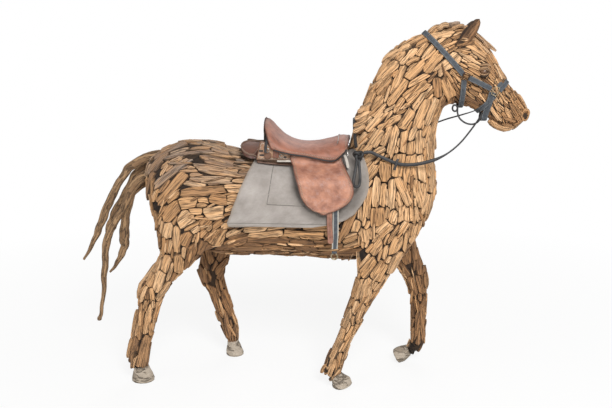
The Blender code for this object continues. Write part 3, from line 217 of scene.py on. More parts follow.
def makeDriftwood(name, look):
    # grain runs along each chip; its tone, greyness and edges come from the chip
    paint = Paint(name, roughness=0.82, coords="UV")
    tone = paint.marked("chipTone")
    grey = paint.marked("chipGrey")
    top = paint.marked("chipTop")
    real = paint.stretched(paint.place, paint.marked("chipSize", "Vector"))
    here = paint.shifted(real, tone * 3.0)
    fine = paint.noise(paint.stretched(here, (22.0, 420.0, 300.0)), detail=4.0, rough=0.65)
    broad = paint.noise(paint.stretched(here, (9.0, 75.0, 75.0)), detail=3.0)
    crack = paint.noise(paint.stretched(here, (5.0, 150.0, 150.0)), detail=2.0).near(0.5, 0.05)
    wood = paint.mixed(tone.within(0.0, 0.40), look["deep"], look["middle"])
    wood = paint.mixed(tone.within(0.35, 1.0), wood, look["pale"])
    wood = paint.mixed(broad.within(0.40, 0.66) * 0.62, wood, look["warm"])
    wood = paint.mixed(fine.within(0.50, 0.72) * 0.50, wood, look["line"])
    worn = paint.noise(paint.stretched(here, (12.0, 60.0, 60.0)), detail=3.0).within(0.20, 0.70)
    wood = paint.mixed((grey * worn * 1.5).held(), wood, look["grey"])
    streak = paint.noise(paint.stretched(here, (10.0, 190.0, 190.0)), detail=2.0).within(0.58, 0.72)
    wood = paint.mixed((grey * streak * 0.7).held(), wood, look["ash"])
    wood = paint.mixed(crack * 0.75, wood, look["gap"])
    # painted shade: each chip's sides are painted near-black towards its foot, as the shade in the gaps
    # between the chips
    wood = paint.mixed((top * -1.0 + 1.0).within(0.06, 0.85) * 0.94, wood, look["gap"])
    paint.coloured(wood)
    paint.raised(fine * 0.6 + broad * 0.5 - crack * 0.8, look["relief"])
    return paint.material


def makePlainWood(name, look):
    # wood whose grain follows the piece's own length, or its object coordinates
    paint = Paint(name, roughness=look.get("roughness", 0.8), coords=look.get("coords", "Object"))
    broad = paint.noise(paint.stretched(paint.place, look["along"]), size=9.0, detail=4.0)
    fine = paint.noise(paint.stretched(paint.place, look["along"]), size=60.0, detail=3.0, rough=0.7)
    wood = paint.mixed(broad.within(0.30, 0.70), look["deep"], look["pale"])
    wood = paint.mixed(fine.within(0.50, 0.75) * 0.6, wood, look["line"])
    crack = broad.near(0.47, 0.035)
    wood = paint.mixed(crack * 0.7, wood, look["gap"])
    if "hollowShade" in look:
        # painted shade: darker towards one side of the ear's cup, where shade falls inside it
        wood = paint.mixed(paint.part(paint.place, 0).within(*look["hollowShade"]), look["gap"], wood)
    paint.coloured(wood)
    paint.raised(fine * 0.4 + broad - crack, look["relief"])
    return paint.material


def makeLeather(name, look):
    # waxed hide: blotches, fine grain, a burnished edge and, where asked, a row of stitches
    paint = Paint(name, roughness=0.5, coords="UV")
    edge = paint.marked("fromEdge")
    along = paint.marked("alongEdge")
    blotch = paint.noise(paint.place, size=14.0, detail=5.0, rough=0.62)
    cloud = paint.noise(paint.place, size=34.0, detail=4.0, rough=0.7)
    grain = paint.cells(paint.place, 620.0)
    hide = paint.mixed(blotch.within(0.34, 0.68), look["deep"], look["pale"])
    hide = paint.mixed(cloud.within(0.50, 0.76) * look["wear"], hide, look["worn"])
    scratch = paint.noise(paint.stretched(paint.place, (90.0, 16.0, 30.0)), detail=3.0).within(0.66, 0.72)
    hide = paint.mixed(scratch * 0.35, hide, look["worn"])
    hide = paint.mixed((edge * (-1.0 / look["edge"]) + 1.0).held() * 0.75, hide, look["dark"])
    height = grain * 0.5 + cloud * 0.4
    if look.get("stitch"):
        row = edge.near(look["stitch"], 0.0022) * along.wavy(0.0075).within(0.30, 0.42)
        groove = edge.near(look["stitch"], 0.0045)
        hide = paint.mixed(groove * 0.55, hide, look["dark"])
        hide = paint.mixed(row * 0.85, hide, look["thread"])
        height = height + row * 1.5 - groove * 1.5
    paint.coloured(hide)
    paint.roughened(cloud.within(0.2, 0.8) * 0.25 + look["polish"])
    paint.raised(height, 0.0007, 0.8)
    return paint.material


def makeWebbing(name, look):
    # woven tape: ribs across it, a twill along it, two stitched edges and faded patches
    paint = Paint(name, roughness=0.85, coords="UV")
    edge = paint.marked("fromEdge")
    along = paint.part(paint.place, 0)
    across = paint.part(paint.place, 1)
    ribs = (along + across * 0.6).wavy(0.0022)
    ends = across.wavy(0.0018)
    fade = paint.noise(paint.place, size=60.0, detail=4.0)
    cloth = paint.mixed(fade.within(0.35, 0.70), look["dark"], look["pale"])
    cloth = paint.mixed(ribs * 0.35, cloth, look["dark"])
    row = edge.near(0.0035, 0.0016) * along.wavy(0.0060).within(0.30, 0.45)
    cloth = paint.mixed(row * 0.8, cloth, look["thread"])
    border = (edge * (-1.0 / look.get("border", 0.0014)) + 1.0).held()
    cloth = paint.mixed(border * look["selvedge"], cloth, look["thread"])
    paint.coloured(cloth)
    paint.raised(ribs * 0.6 + ends * 0.4 + row, 0.0006)
    return paint.material


def makeCanvas(name, look):
    # plain-woven canvas with slubs, faded and dirty patches, a painted shadow of the flap and a bound edge
    paint = Paint(name, roughness=0.92, coords="UV")
    edge = paint.marked("fromEdge")
    stain = paint.marked("stain")
    x = paint.part(paint.place, 0)
    y = paint.part(paint.place, 1)
    weave = x.wavy(0.0016) * 0.5 + y.wavy(0.0016) * 0.5
    slub = paint.noise(paint.stretched(paint.place, (30.0, 420.0, 1.0)), detail=2.0)
    fade = paint.noise(paint.place, size=9.0, detail=5.0, rough=0.65)
    patch = paint.noise(paint.place, size=26.0, detail=4.0)
    cloth = paint.mixed(fade.within(0.30, 0.70), look["dark"], look["pale"])
    cloth = paint.mixed(slub.within(0.5, 0.8) * 0.30, cloth, look["dark"])
    cloth = paint.mixed(weave * 0.12, cloth, look["dark"])
    cloth = paint.mixed(patch.within(0.62, 0.80) * 0.35, cloth, look["dirt"])
    # painted shadow of the flap on the cloth
    cloth = paint.mixed((stain * (patch * 0.8 + 0.5)).held(), cloth, look["shadow"])
    binding = (edge * (-1.0 / 0.007) + 1.6).held()
    cloth = paint.mixed(binding * 0.35, cloth, look["dirt"])
    paint.coloured(cloth)
    paint.raised(weave * 0.4 + slub * 0.3 + binding * 0.5, 0.0012)
    return paint.material


def makeSteel(name, look):
    # old metal: scratched, dull, with rust where it is never rubbed
    paint = Paint(name, roughness=0.42, metallic=0.9)
    rub = paint.noise(paint.place, size=160.0, detail=4.0)
    rust = paint.noise(paint.place, size=60.0, detail=5.0, rough=0.7)
    metal = paint.mixed(rub.within(0.3, 0.7), look["dark"], look["pale"])
    metal = paint.mixed(rust.within(0.52, 0.68) * look["rust"], metal, look["stain"])
    paint.coloured(metal)
    paint.roughened(rub * 0.25 + rust.within(0.5, 0.7) * 0.3 + 0.25)
    paint.raised(rub * 0.5 + rust, 0.0004)
    return paint.material


woodLook = {"deep": (0.210, 0.102, 0.044), "middle": (0.600, 0.335, 0.152), "pale": (0.790, 0.510, 0.285),
            "warm": (0.540, 0.275, 0.108), "line": (0.300, 0.155, 0.070), "grey": (0.275, 0.205, 0.158),
            "ash": (0.46, 0.40, 0.35), "gap": (0.020, 0.011, 0.006), "relief": 0.0022}
rootLook = {"deep": (0.150, 0.080, 0.036), "pale": (0.420, 0.262, 0.135), "line": (0.120, 0.065, 0.032),
            "gap": (0.030, 0.016, 0.009), "along": (0.7, 5.0, 1.0), "relief": 0.004, "coords": "UV"}
# the ear's last range paints shade across the inside of its cup
earLook = dict(rootLook, deep=(0.105, 0.046, 0.019), pale=(0.340, 0.175, 0.076), along=(7.0, 0.9, 1.0),
               relief=0.002, hollowShade=(-0.024, 0.012))
hoofLook = {"deep": (0.210, 0.165, 0.120), "pale": (0.520, 0.450, 0.365), "line": (0.180, 0.130, 0.085),
            "gap": (0.070, 0.050, 0.034), "along": (1.0, 1.0, 3.4), "relief": 0.003}
# painted shade: the core under the chips is near-black, so that gaps, pits, the eyes' crescents and the
# nostrils show as deep shade
shadeCoreLook = {"deep": (0.014, 0.008, 0.005), "pale": (0.045, 0.025, 0.013), "line": (0.010, 0.006, 0.004),
            "gap": (0.006, 0.003, 0.002), "along": (1, 1, 1), "relief": 0.003, "roughness": 0.95}
seatLook = {"deep": (0.175, 0.064, 0.038), "pale": (0.385, 0.155, 0.096), "worn": (0.300, 0.205, 0.185),
            "dark": (0.060, 0.018, 0.009), "thread": (0.450, 0.330, 0.230), "wear": 0.50, "edge": 0.0060,
            "stitch": 0.010, "polish": 0.42}
flapLook = dict(seatLook, deep=(0.215, 0.087, 0.058), pale=(0.505, 0.238, 0.148), worn=(0.400, 0.300, 0.280),
                edge=0.0080, polish=0.44)
darkLook = dict(seatLook, deep=(0.070, 0.026, 0.015), pale=(0.165, 0.066, 0.038), worn=(0.260, 0.140, 0.100),
                wear=0.35)
tanLook = dict(seatLook, deep=(0.230, 0.110, 0.060), pale=(0.500, 0.310, 0.190), worn=(0.600, 0.450, 0.340),
               wear=0.60, stitch=0.006, thread=(0.620, 0.560, 0.470))
reinLook = dict(seatLook, deep=(0.016, 0.015, 0.016), pale=(0.042, 0.041, 0.043), worn=(0.110, 0.108, 0.105),
                dark=(0.010, 0.009, 0.009), stitch=None, wear=0.4, edge=0.0015, polish=0.42)
pipingLook = dict(tanLook, deep=(0.360, 0.250, 0.160), pale=(0.560, 0.440, 0.320), stitch=None)
eyeLook = {"deep": (0.050, 0.022, 0.010), "pale": (0.160, 0.080, 0.036), "line": (0.030, 0.015, 0.008),
           "gap": (0.020, 0.010, 0.006), "along": (1, 1, 1), "relief": 0.0006, "roughness": 0.30}
seamLook = {"dark": (0.120, 0.105, 0.092), "pale": (0.200, 0.180, 0.160), "thread": (0.16, 0.14, 0.12),
            "selvedge": 0.1}
webLook = {"dark": (0.042, 0.048, 0.056), "pale": (0.098, 0.110, 0.125), "thread": (0.300, 0.300, 0.290),
           "selvedge": 0.25}
strapLook = dict(webLook, thread=(0.560, 0.530, 0.460), selvedge=0.95, border=0.0075)
canvasLook = {"dark": (0.240, 0.213, 0.190), "pale": (0.415, 0.377, 0.348), "dirt": (0.270, 0.206, 0.145),
              "shadow": (0.100, 0.085, 0.072)}
feltLook = dict(canvasLook, dark=(0.520, 0.490, 0.450), pale=(0.740, 0.710, 0.660))
steelLook = {"dark": (0.20, 0.19, 0.18), "pale": (0.55, 0.53, 0.50), "stain": (0.16, 0.065, 0.025),
             "rust": 0.7}
ironLook = {"dark": (0.020, 0.017, 0.015), "pale": (0.070, 0.055, 0.045), "stain": (0.10, 0.040, 0.018),
            "rust": 0.8}
brassLook = {"dark": (0.20, 0.150, 0.085), "pale": (0.52, 0.44, 0.31), "stain": (0.15, 0.085, 0.04),
             "rust": 0.4}

driftwood = makeDriftwood("driftwood", woodLook)
shadeCoreWood = makePlainWood("shadeCoreWood", shadeCoreLook)
rootWood = makePlainWood("rootWood", rootLook)
earWood = makePlainWood("earWood", earLook)
hoofWood = makePlainWood("hoofWood", hoofLook)
seatLeather = makeLeather("seatLeather", seatLook)
flapLeather = makeLeather("flapLeather", flapLook)
darkLeather = makeLeather("darkLeather", darkLook)
tanLeather = makeLeather("tanLeather", tanLook)
reinLeather = makeLeather("reinLeather", reinLook)
webbing = makeWebbing("collarWebbing", webLook)
strapWebbing = makeWebbing("strapWebbing", strapLook)
canvas = makeCanvas("canvas", canvasLook)
felt = makeCanvas("paleFelt", feltLook)
pipingLeather = makeLeather("pipingLeather", pipingLook)
seamThread = makeWebbing("seamThread", seamLook)
eyeGloss = makePlainWood("eyeGloss", eyeLook)
steel = makeSteel("oldSteel", steelLook)
iron = makeSteel("darkIron", ironLook)
brass = makeSteel("paleBrass", brassLook)
print("materials made")


# Small helpers for pieces

def linked(obj):
    bpy.context.scene.collection.objects.link(obj)
    return obj


def remove(obj):
    bpy.data.objects.remove(obj, do_unlink=True)


def pieceFrom(name, bm, material, smooth=None):
    mesh = bpy.data.meshes.new(name)
    bm.to_mesh(mesh)
    bm.free()
    mesh.materials.append(material)
    if smooth is not None:
        mesh.shade_smooth()
        mesh.set_sharp_from_angle(angle=math.radians(smooth))
    return linked(bpy.data.objects.new(name, mesh))


def settle(obj, body, slot, *nodes):
    if nodes:
        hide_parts(*nodes)
    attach(obj, body)
    return obj


def settleWood(obj, *nodes):
    return settle(obj, "horse", "driftwood", *nodes)


def settleHide(obj, *nodes):
    return settle(obj, "saddle", "saddle_leather", *nodes)


def settleSteel(obj):
    return settle(obj, "saddle", "bright_steel")


def evaluated(obj, name):
    # the plain mesh that an object's modifiers make
    bpy.context.view_layer.update()
    graph = bpy.context.evaluated_depsgraph_get()
    mesh = bpy.data.meshes.new_from_object(obj.evaluated_get(graph), preserve_all_data_layers=True,
                                           depsgraph=graph)
    mesh.name = name
    return mesh


def markPoints(mesh, **marks):
    for name, values in marks.items():
        mark = mesh.attributes.new(name, "FLOAT", "POINT")
        mark.data.foreach_set("value", values)


def markVectors(mesh, **marks):
    for name, rows in marks.items():
        mark = mesh.attributes.new(name, "FLOAT_VECTOR", "POINT")
        mark.data.foreach_set("vector", [float(c) for row in rows for c in row])


def gathered(*meshes):
    # several meshes as one, to be worked on
    bm = bmesh.new()
    for mesh in meshes:
        bm.from_mesh(mesh)
    return bm


def nodeMesh(*nodes):
    # the CAD nodes' meshes as one, their loose triangles merged
    bm = gathered(*[frame["nodes"][node].data for node in nodes])
    bmesh.ops.remove_doubles(bm, verts=bm.verts, dist=0.00002)
    return bm


def treeFrom(bm):
    tree = BVHTree.FromBMesh(bm)
    bm.free()
    return tree


def treeOf(*nodes):
    return treeFrom(nodeMesh(*nodes))


def eased(low, high, value):
    share = min(max((value - low) / (high - low), 0.0), 1.0)
    return share * share * (3.0 - 2.0 * share)


def spread(low, high, count):
    return [low + (high - low) * i / (count - 1) for i in range(count)]


def splineValue(rows, t):
    # smooth interpolation through rows of numbers; t counts rows
    last = len(rows) - 1
    i = min(int(t), last - 1)
    f = t - i
    a, b, c, d = (rows[min(max(k, 0), last)] for k in (i - 1, i, i + 1, i + 2))
    return [0.5 * (2 * q + (r - p) * f + (2 * p - 5 * q + 4 * r - s) * f * f
                   + (3 * q - p - 3 * r + s) * f ** 3)
            for p, q, r, s in zip(a, b, c, d)]


def valueOn(points, at, key=0, value=1):
    # smooth interpolation along an outline, its rows in either order of their key
    rows = sorted(points, key=lambda p: p[key])
    if at <= rows[0][key]:
        return rows[0][value]
    for place, (low, high) in enumerate(zip(rows, rows[1:])):
        if at <= high[key]:
            return splineValue(rows, place + (at - low[key]) / (high[key] - low[key]))[value]
    return rows[-1][value]


def loftPiece(name, rings, material, smooth=50):
    # a closed skin over rings of points; its UV is in metres, along and around
    bm = bmesh.new()
    uv = bm.loops.layers.uv.new("UVMap")
    verts = [[bm.verts.new(p) for p in ring] for ring in rings]
    count = len(rings[0])
    centres = [sum(ring, Vector()) / count for ring in rings]
    along = [0.0]
    for a, b in zip(centres, centres[1:]):
        along.append(along[-1] + (b - a).length)
    around = [0.0]
    middle = rings[len(rings) // 2]
    for i in range(count):
        around.append(around[-1] + (middle[(i + 1) % count] - middle[i]).length)
    for k in range(len(rings) - 1):
        for i in range(count):
            j = (i + 1) % count
            face = bm.faces.new((verts[k][i], verts[k][j], verts[k + 1][j], verts[k + 1][i]))
            for loop, place in zip(face.loops, ((k, i), (k, i + 1), (k + 1, i + 1), (k + 1, i))):
                loop[uv].uv = (along[place[0]], around[place[1]])
    for ring, place in ((list(reversed(verts[0])), 0), (verts[-1], -1)):
        face = bm.faces.new(ring)
        for loop in face.loops:
            loop[uv].uv = (along[place], (loop.vert.co - centres[place]).length)
    bmesh.ops.recalc_face_normals(bm, faces=bm.faces)
    return pieceFrom(name, bm, material, smooth)


def framesAlong(points, hint):
    # tangent, out and side at each point of a path; out leans towards the hint
    result = []
    for i, point in enumerate(points):
        tangent = (points[min(i + 1, len(points) - 1)] - points[max(i - 1, 0)]).normalized()
        out = hint[i] if isinstance(hint, list) else hint
        out = (out - tangent * out.dot(tangent)).normalized()
        result.append((tangent, out, tangent.cross(out)))
    return result


def tubePiece(name, points, radii, material, count=10, hint=Vector((0, 0, 1)), flat=1.0, bumps=0.0):
    # a round, flat or gnarled tube on a path, with one radius or a list of them
    radii = radii if isinstance(radii, list) else [radii] * len(points)
    rings = []
    for (_, out, side), point, radius in zip(framesAlong(points, hint), points, radii):
        ring = []
        for i in range(count):
            a = math.tau * i / count
            spot = side * math.cos(a) * radius + out * math.sin(a) * radius * flat
            if bumps:
                spot *= 1.0 + bumps * noise.noise((point + spot) * 38.0) + bumps * 0.8 * math.sin(3 * a + 1.7)
            ring.append(point + spot)
        rings.append(ring)
    return loftPiece(name, rings, material)


def ribbonPiece(name, points, outs, width, thickness, material, lift=0.0, roundEnds=False):
    # a strap whose underside lies on the points, with edge distances for its stitches
    profile = [(-0.5, 0.25), (-0.5, 0.75), (-0.44, 1.0), (-0.2, 1.06), (0.2, 1.06), (0.44, 1.0),
               (0.5, 0.75), (0.5, 0.25), (0.44, 0.0), (0.2, 0.0), (-0.2, 0.0), (-0.44, 0.0)]
    rings = []
    for (_, out, side), point in zip(framesAlong(points, outs), points):
        rings.append([point + side * width * a + out * (lift + thickness * b) for a, b in profile])
    if roundEnds:
        for ring in (rings[0], rings[-1]):
            centre = sum(ring, Vector()) / len(ring)
            for i, p in enumerate(ring):
                ring[i] = centre + (p - centre) * 0.62
    piece = loftPiece(name, rings, material, 60)
    edges, alongs = [], []
    total = 0.0
    for k, ring in enumerate(rings):
        if k:
            total += (sum(ring, Vector()) - sum(rings[k - 1], Vector())).length / len(ring)
        edges += [width * (0.5 - abs(a)) for a, _ in profile]
        alongs += [total] * len(profile)
    markPoints(piece.data, fromEdge=edges, alongEdge=alongs)
    return piece


def shellPiece(name, outer, inner, material, bulge=0.5, smooth=60):
    # a closed sheet between two grids of points, with a rounded rim; UV and edge marks in metres
    bm = bmesh.new()
    uv = bm.loops.layers.uv.new("UVMap")
    rows, columns = len(outer), len(outer[0])
    across = [[0.0] * columns for _ in range(rows)]
    down = [[0.0] * columns for _ in range(rows)]
    for r in range(rows):
        for c in range(1, columns):
            across[r][c] = across[r][c - 1] + (outer[r][c] - outer[r][c - 1]).length
        middle = across[r][-1] / 2
        across[r] = [value - middle for value in across[r]]
    for c in range(columns):
        for r in range(1, rows):
            down[r][c] = down[r - 1][c] + (outer[r][c] - outer[r - 1][c]).length
    edges, alongs, spots = [], [], {}
    sheets = []
    for grid in (outer, inner):
        sheet = []
        for r in range(rows):
            line = []
            for c in range(columns):
                vert = bm.verts.new(grid[r][c])
                fromSide = min(across[r][c] - across[r][0], across[r][-1] - across[r][c])
                fromEnd = min(down[r][c], down[-1][c] - down[r][c])
                edges.append(min(fromSide, fromEnd))
                alongs.append(across[r][c] if fromEnd < fromSide else down[r][c])
                spots[vert] = (across[r][c], down[r][c])
                line.append(vert)
            sheet.append(line)
        sheets.append(sheet)
    border = [(0, c) for c in range(columns)] + [(r, columns - 1) for r in range(1, rows)]
    border += [(rows - 1, c) for c in range(columns - 2, -1, -1)] + [(r, 0) for r in range(rows - 2, 0, -1)]
    rim = []
    for r, c in border:
        middle = (outer[r][c] + inner[r][c]) / 2
        away = outer[r][c] - outer[min(max(r, 1), rows - 2)][min(max(c, 1), columns - 2)]
        thick = outer[r][c] - inner[r][c]
        away = away - thick * away.dot(thick) / max(thick.length_squared, 1e-9)
        if away.length > 1e-6:
            middle = middle + away.normalized() * thick.length * bulge
        vert = bm.verts.new(middle)
        spots[vert] = (across[r][c], down[r][c])
        edges.append(0.0)
        alongs.append(across[r][c] if r in (0, rows - 1) else down[r][c])
        rim.append(vert)

    def join(corners):
        face = bm.faces.new(corners)
        for loop in face.loops:
            loop[uv].uv = spots[loop.vert]

    for sheet in sheets:
        for r in range(rows - 1):
            for c in range(columns - 1):
                join((sheet[r][c], sheet[r][c + 1], sheet[r + 1][c + 1], sheet[r + 1][c]))
    count = len(border)
    for i in range(count):
        j = (i + 1) % count
        a, b = border[i], border[j]
        join((sheets[0][a[0]][a[1]], sheets[0][b[0]][b[1]], rim[j], rim[i]))
        join((rim[i], rim[j], sheets[1][b[0]][b[1]], sheets[1][a[0]][a[1]]))
    bmesh.ops.recalc_face_normals(bm, faces=bm.faces)
    piece = pieceFrom(name, bm, material, smooth)
    markPoints(piece.data, fromEdge=edges, alongEdge=alongs)
    return piece


def twoFaces(rows, columns, pair):
    # the outer and the inner grid of a sheet; pair gives both points at a row and a column
    both = [[pair(row, column) for column in columns] for row in rows]
    return [[[points[face] for points in line] for line in both] for face in (0, 1)]


def boxPiece(name, at, size, bevel, material):
    bm = bmesh.new()
    bmesh.ops.create_cube(bm, size=1.0)
    bmesh.ops.scale(bm, vec=size, verts=bm.verts)
    bmesh.ops.bevel(bm, geom=list(bm.edges), offset=bevel, segments=2, affect="EDGES", profile=0.5)
    bmesh.ops.translate(bm, vec=at, verts=bm.verts)
    return pieceFrom(name, bm, material, 40)


def ballPiece(name, at, size, steps, material):
    bm = bmesh.new()
    bmesh.ops.create_uvsphere(bm, u_segments=steps[0], v_segments=steps[1], radius=1.0)
    bmesh.ops.scale(bm, vec=size, verts=bm.verts)
    bmesh.ops.translate(bm, vec=at, verts=bm.verts)
    return pieceFrom(name, bm, material, 60)


def discPiece(name, at, radii, depth, steps, turn, material, smooth=None):
    # a short round plug, its axis turned from upright to across the horse
    bm = bmesh.new()
    bmesh.ops.create_cone(bm, cap_ends=True, segments=steps, radius1=radii[0], radius2=radii[1], depth=depth)
    bmesh.ops.rotate(bm, cent=(0, 0, 0), matrix=Matrix.Rotation(turn, 3, "X"), verts=bm.verts)
    bmesh.ops.translate(bm, vec=at, verts=bm.verts)
    return pieceFrom(name, bm, material, smooth)


def ovalLine(at, wide, high, count, deep=0.0):
    # a closed oval seen from the side
    return [at + Vector((math.cos(a) * wide, math.sin(a) * deep, math.sin(a) * high))
            for a in spread(0.0, math.tau, count)]


def joined(name, pieces):
    # several pieces of one material and body as one
    material = pieces[0].data.materials[0]
    bm = gathered(*[piece.data for piece in pieces])
    for piece in pieces:
        remove(piece)
    return pieceFrom(name, bm, material, 50)


# The skin under the driftwood: one smooth body from the wooden nodes

trunk = ["rump", "barrel", "chest", "neck_lower", "neck_upper", "head"]
upperLegs = [f"{side}_{end}_upper_leg" for side in ("right", "left") for end in ("hind", "fore")]
lowerLegs = [name.replace("upper", "lower") for name in upperLegs]
clad = trunk + upperLegs + lowerLegs
skinSizes = {"voxel": 0.0105, "smoothing": 7, "sink": 0.007}


def makeSkin():
    rough = pieceFrom("skin", nodeMesh(*clad, "steel_frame"), shadeCoreWood)
    remesh = rough.modifiers.new("remesh", "REMESH")
    remesh.mode = "VOXEL"
    remesh.voxel_size = skinSizes["voxel"]
    soften = rough.modifiers.new("soften", "SMOOTH")
    soften.iterations = skinSizes["smoothing"]
    mesh = evaluated(rough, "skin")
    remove(rough)
    bm = gathered(mesh)
    bm.normal_update()
    for vert in bm.verts:
        vert.co -= vert.normal * skinSizes["sink"]
    bm.to_mesh(mesh)
    bm.free()
    mesh.shade_smooth()
    mesh.materials.clear()
    mesh.materials.append(shadeCoreWood)
    return linked(bpy.data.objects.new("woodCore", mesh))


# How the chips lie, seen from the side: x, z and the grain's angle, chosen one by one
grain = [
    (-0.74, 1.10, 40), (-0.66, 1.20, 34), (-0.50, 1.22, 10), (-0.30, 1.19, -5), (-0.10, 1.15, -4),
    (-0.62, 1.08, 42), (-0.45, 1.08, 4), (-0.30, 1.05, -3), (-0.71, 0.93, 80), (-0.62, 0.92, 50),
    (-0.45, 0.92, 12), (-0.30, 0.86, 30), (-0.62, 0.76, 74), (-0.45, 0.78, 60), (-0.34, 0.80, 50),
    (-0.30, 0.72, 10), (-0.10, 0.76, 2), (0.10, 0.75, -2), (0.24, 0.78, 8), (-0.10, 0.66, 0),
    (0.12, 0.66, 2), (0.36, 0.95, 84), (0.50, 0.92, 80), (0.36, 1.10, 70), (0.50, 1.08, 92),
    (0.64, 1.02, 100), (0.36, 0.76, 88), (0.50, 0.74, 74), (0.60, 0.90, 96), (0.42, 1.22, 50),
    (0.56, 1.22, 80), (0.68, 1.16, 97), (0.38, 1.38, 44), (0.52, 1.38, 48), (0.66, 1.34, 88),
    (0.44, 1.56, 50), (0.56, 1.54, 46), (0.68, 1.48, 60), (0.56, 1.70, 50), (0.68, 1.64, 40),
    (0.66, 1.78, 32), (0.76, 1.72, 40), (0.74, 1.55, 105), (0.80, 1.80, 20), (0.82, 1.62, -20),
    (0.90, 1.72, -35), (0.90, 1.55, -28), (0.98, 1.62, -52), (0.98, 1.48, -48), (1.06, 1.50, -52),
    (1.10, 1.40, -58)]


def grainAt(x, z):
    # axial average of the marks around: angles are doubled so that 0 and 180 agree
    ahead = up = 0.0
    for markX, markZ, angle in grain:
        near = 1.0 / ((x - markX) ** 2 + (z - markZ) ** 2 + 0.0006) ** 1.5
        ahead += near * math.cos(math.radians(2 * angle))
        up += near * math.sin(math.radians(2 * angle))
    turn = math.atan2(up, ahead) / 2
    return Vector((math.cos(turn), 0.0, math.sin(turn)))


def mainAxis(node):
    # the long direction of a leg's node, from its top to its bottom
    low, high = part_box(node)
    points = [vert.co for vert in frame["nodes"][node].data.vertices]
    reach = (high.z - low.z) * 0.2
    top = [p for p in points if p.z > high.z - reach]
    bottom = [p for p in points if p.z < low.z + reach]
    middle = sum(top, Vector()) / len(top) - sum(bottom, Vector()) / len(bottom)
    return middle.normalized()


def markSkin(skin):
    # each point of the skin learns its section, its grain, its room for chips and its greyness
    mesh = skin.data
    trees = {node: treeOf(node) for node in clad}
    axes = {node: mainAxis(node) for node in upperLegs + lowerLegs}
    covers = treeOf("saddle_cloth")
    straps = treeOf("crown_strap", "noseband", "chin_strap", "throat_strap",
                    *[f"cheek_strap_{side}" for side, _ in sides])
    fixed = treeOf("right_ear", "left_ear", "right_eye", "left_eye")
    boxes = {node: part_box(node) for node in clad}
    marks = {"section": [], "room": [], "rise": [], "grey": []}
    flows = []
    for vert in mesh.vertices:
        p, normal = vert.co, vert.normal
        best = None
        for node, (low, high) in boxes.items():
            if all(low[i] - 0.03 < p[i] < high[i] + 0.03 for i in range(3)):
                distance = trees[node].find_nearest(p, 0.08)[3]
                if distance is not None and (best is None or distance < best[0]):
                    best = (distance, node)
        node = best[1] if best else "barrel"
        marks["section"].append(clad.index(node))
        along = axes[node] if node in axes else grainAt(p.x, p.z)
        flow = along - normal * along.dot(normal)
        if flow.length < 0.25:
            flow = Vector((0, 1, 0)).cross(normal)
        flows.append(flow.normalized())
        under = covers.ray_cast(p, normal, 0.06)[0] is not None
        strap = straps.find_nearest(p, 0.03)[3] if p.z > 1.3 else None
        trim = fixed.find_nearest(p, 0.012)[3] if p.z > 1.5 else None
        sole = best is None or (p.z < 0.20 and normal.z < -0.40)
        marks["room"].append(0.0 if under or trim is not None or sole else 1.0)
        rise = 0.35 if under or strap is not None else 1.0
        if normal.z < -0.6 or (normal.x > 0.75 and 1.05 < p.z < 1.35):
            # flat-laid wood under the belly and down the front of the neck
            rise = min(rise, 0.45)
        marks["rise"].append(rise)
        back = eased(0.98, 1.14, p.z) * (1.0 - eased(0.22, 0.34, p.x)) * eased(-0.86, -0.70, p.x)
        poll = 0.5 * eased(1.79, 1.82, p.z)
        low = 0.20 * eased(0.30, 0.10, p.z)
        marks["grey"].append(max(back, poll, low))
    count = len(mesh.vertices)
    ends = np.empty(len(mesh.edges) * 2, np.int64)
    mesh.edges.foreach_get("vertices", ends)
    first, second = ends[0::2], ends[1::2]
    flows = np.array([list(flow) for flow in flows])
    rise = np.array(marks["rise"])
    links = np.bincount(ends, minlength=count) + 1.0
    for _ in range(4):
        # Calm the grain where regions meet
        same = np.sign((flows[first] * flows[second]).sum(1))[:, None]
        total = flows.copy()
        np.add.at(total, first, flows[second] * same)
        np.add.at(total, second, flows[first] * same)
        flows = total / np.linalg.norm(total, axis=1)[:, None]
        mean = rise.copy()
        np.add.at(mean, first, rise[second])
        np.add.at(mean, second, rise[first])
        rise = mean / links
    points = np.array([list(vert.co) for vert in mesh.vertices])
    normals = np.array([list(vert.normal) for vert in mesh.vertices])
    return {"points": points, "normals": normals, "flows": flows, "rise": rise,
            "section": np.array(marks["section"]), "room": np.array(marks["room"]) > 0.5,
            "grey": np.array(marks["grey"]), "cells": cellsOf(points)}


cellSize = 0.14


def cellsOf(points):
    # which points lie in and around each cell of a coarse grid
    places = {}
    for index, cell in enumerate(map(tuple, np.floor(points / cellSize).astype(int))):
        places.setdefault(cell, []).append(index)
    around = {}
    for cell in places:
        near = []
        for step in itertools.product((-1, 0, 1), repeat=3):
            near += places.get(tuple(c + s for c, s in zip(cell, step)), [])
        around[cell] = np.array(near)
    return around


# Splinter shapes: length, width and height are each 1, so that the scatter gives the real size

splinter = {"ends": (0.10, 0.42), "waist": 0.12, "taper": 0.34, "bevel": 0.22, "crown": 0.16}
splinterVariants = 10


def chipOutline(kind, rng):
    # a plank seen from above: two uneven long sides, two broken ends
    tapers = {1: rng.uniform(-1, 1) * kind["taper"], -1: rng.uniform(-1, 1) * kind["taper"]}
    low, high = kind["ends"]

    def end(side):
        tip = rng.uniform(-0.28, 0.28)
        return [(side * (0.5 - rng.uniform(low, high)), -side * 0.5),
                (side * 0.5, -side * (tip * 0.5 + 0.18)),
                (side * (0.5 - rng.uniform(0.0, low + 0.05)), side * (0.16 - tip)),
                (side * (0.5 - rng.uniform(low, high)), side * 0.5)]

    def waist(side):
        return [(side * rng.uniform(0.05, 0.2), side * (0.5 - rng.uniform(0, kind["waist"]))),
                (-side * rng.uniform(0.05, 0.2), side * (0.5 - rng.uniform(0, kind["waist"])))]

    points = end(1) + waist(1) + end(-1) + waist(-1)
    return [(x, y * (1.0 - abs(x) * 2 * abs(tapers[1 if x > 0 else -1]))) for x, y in points]


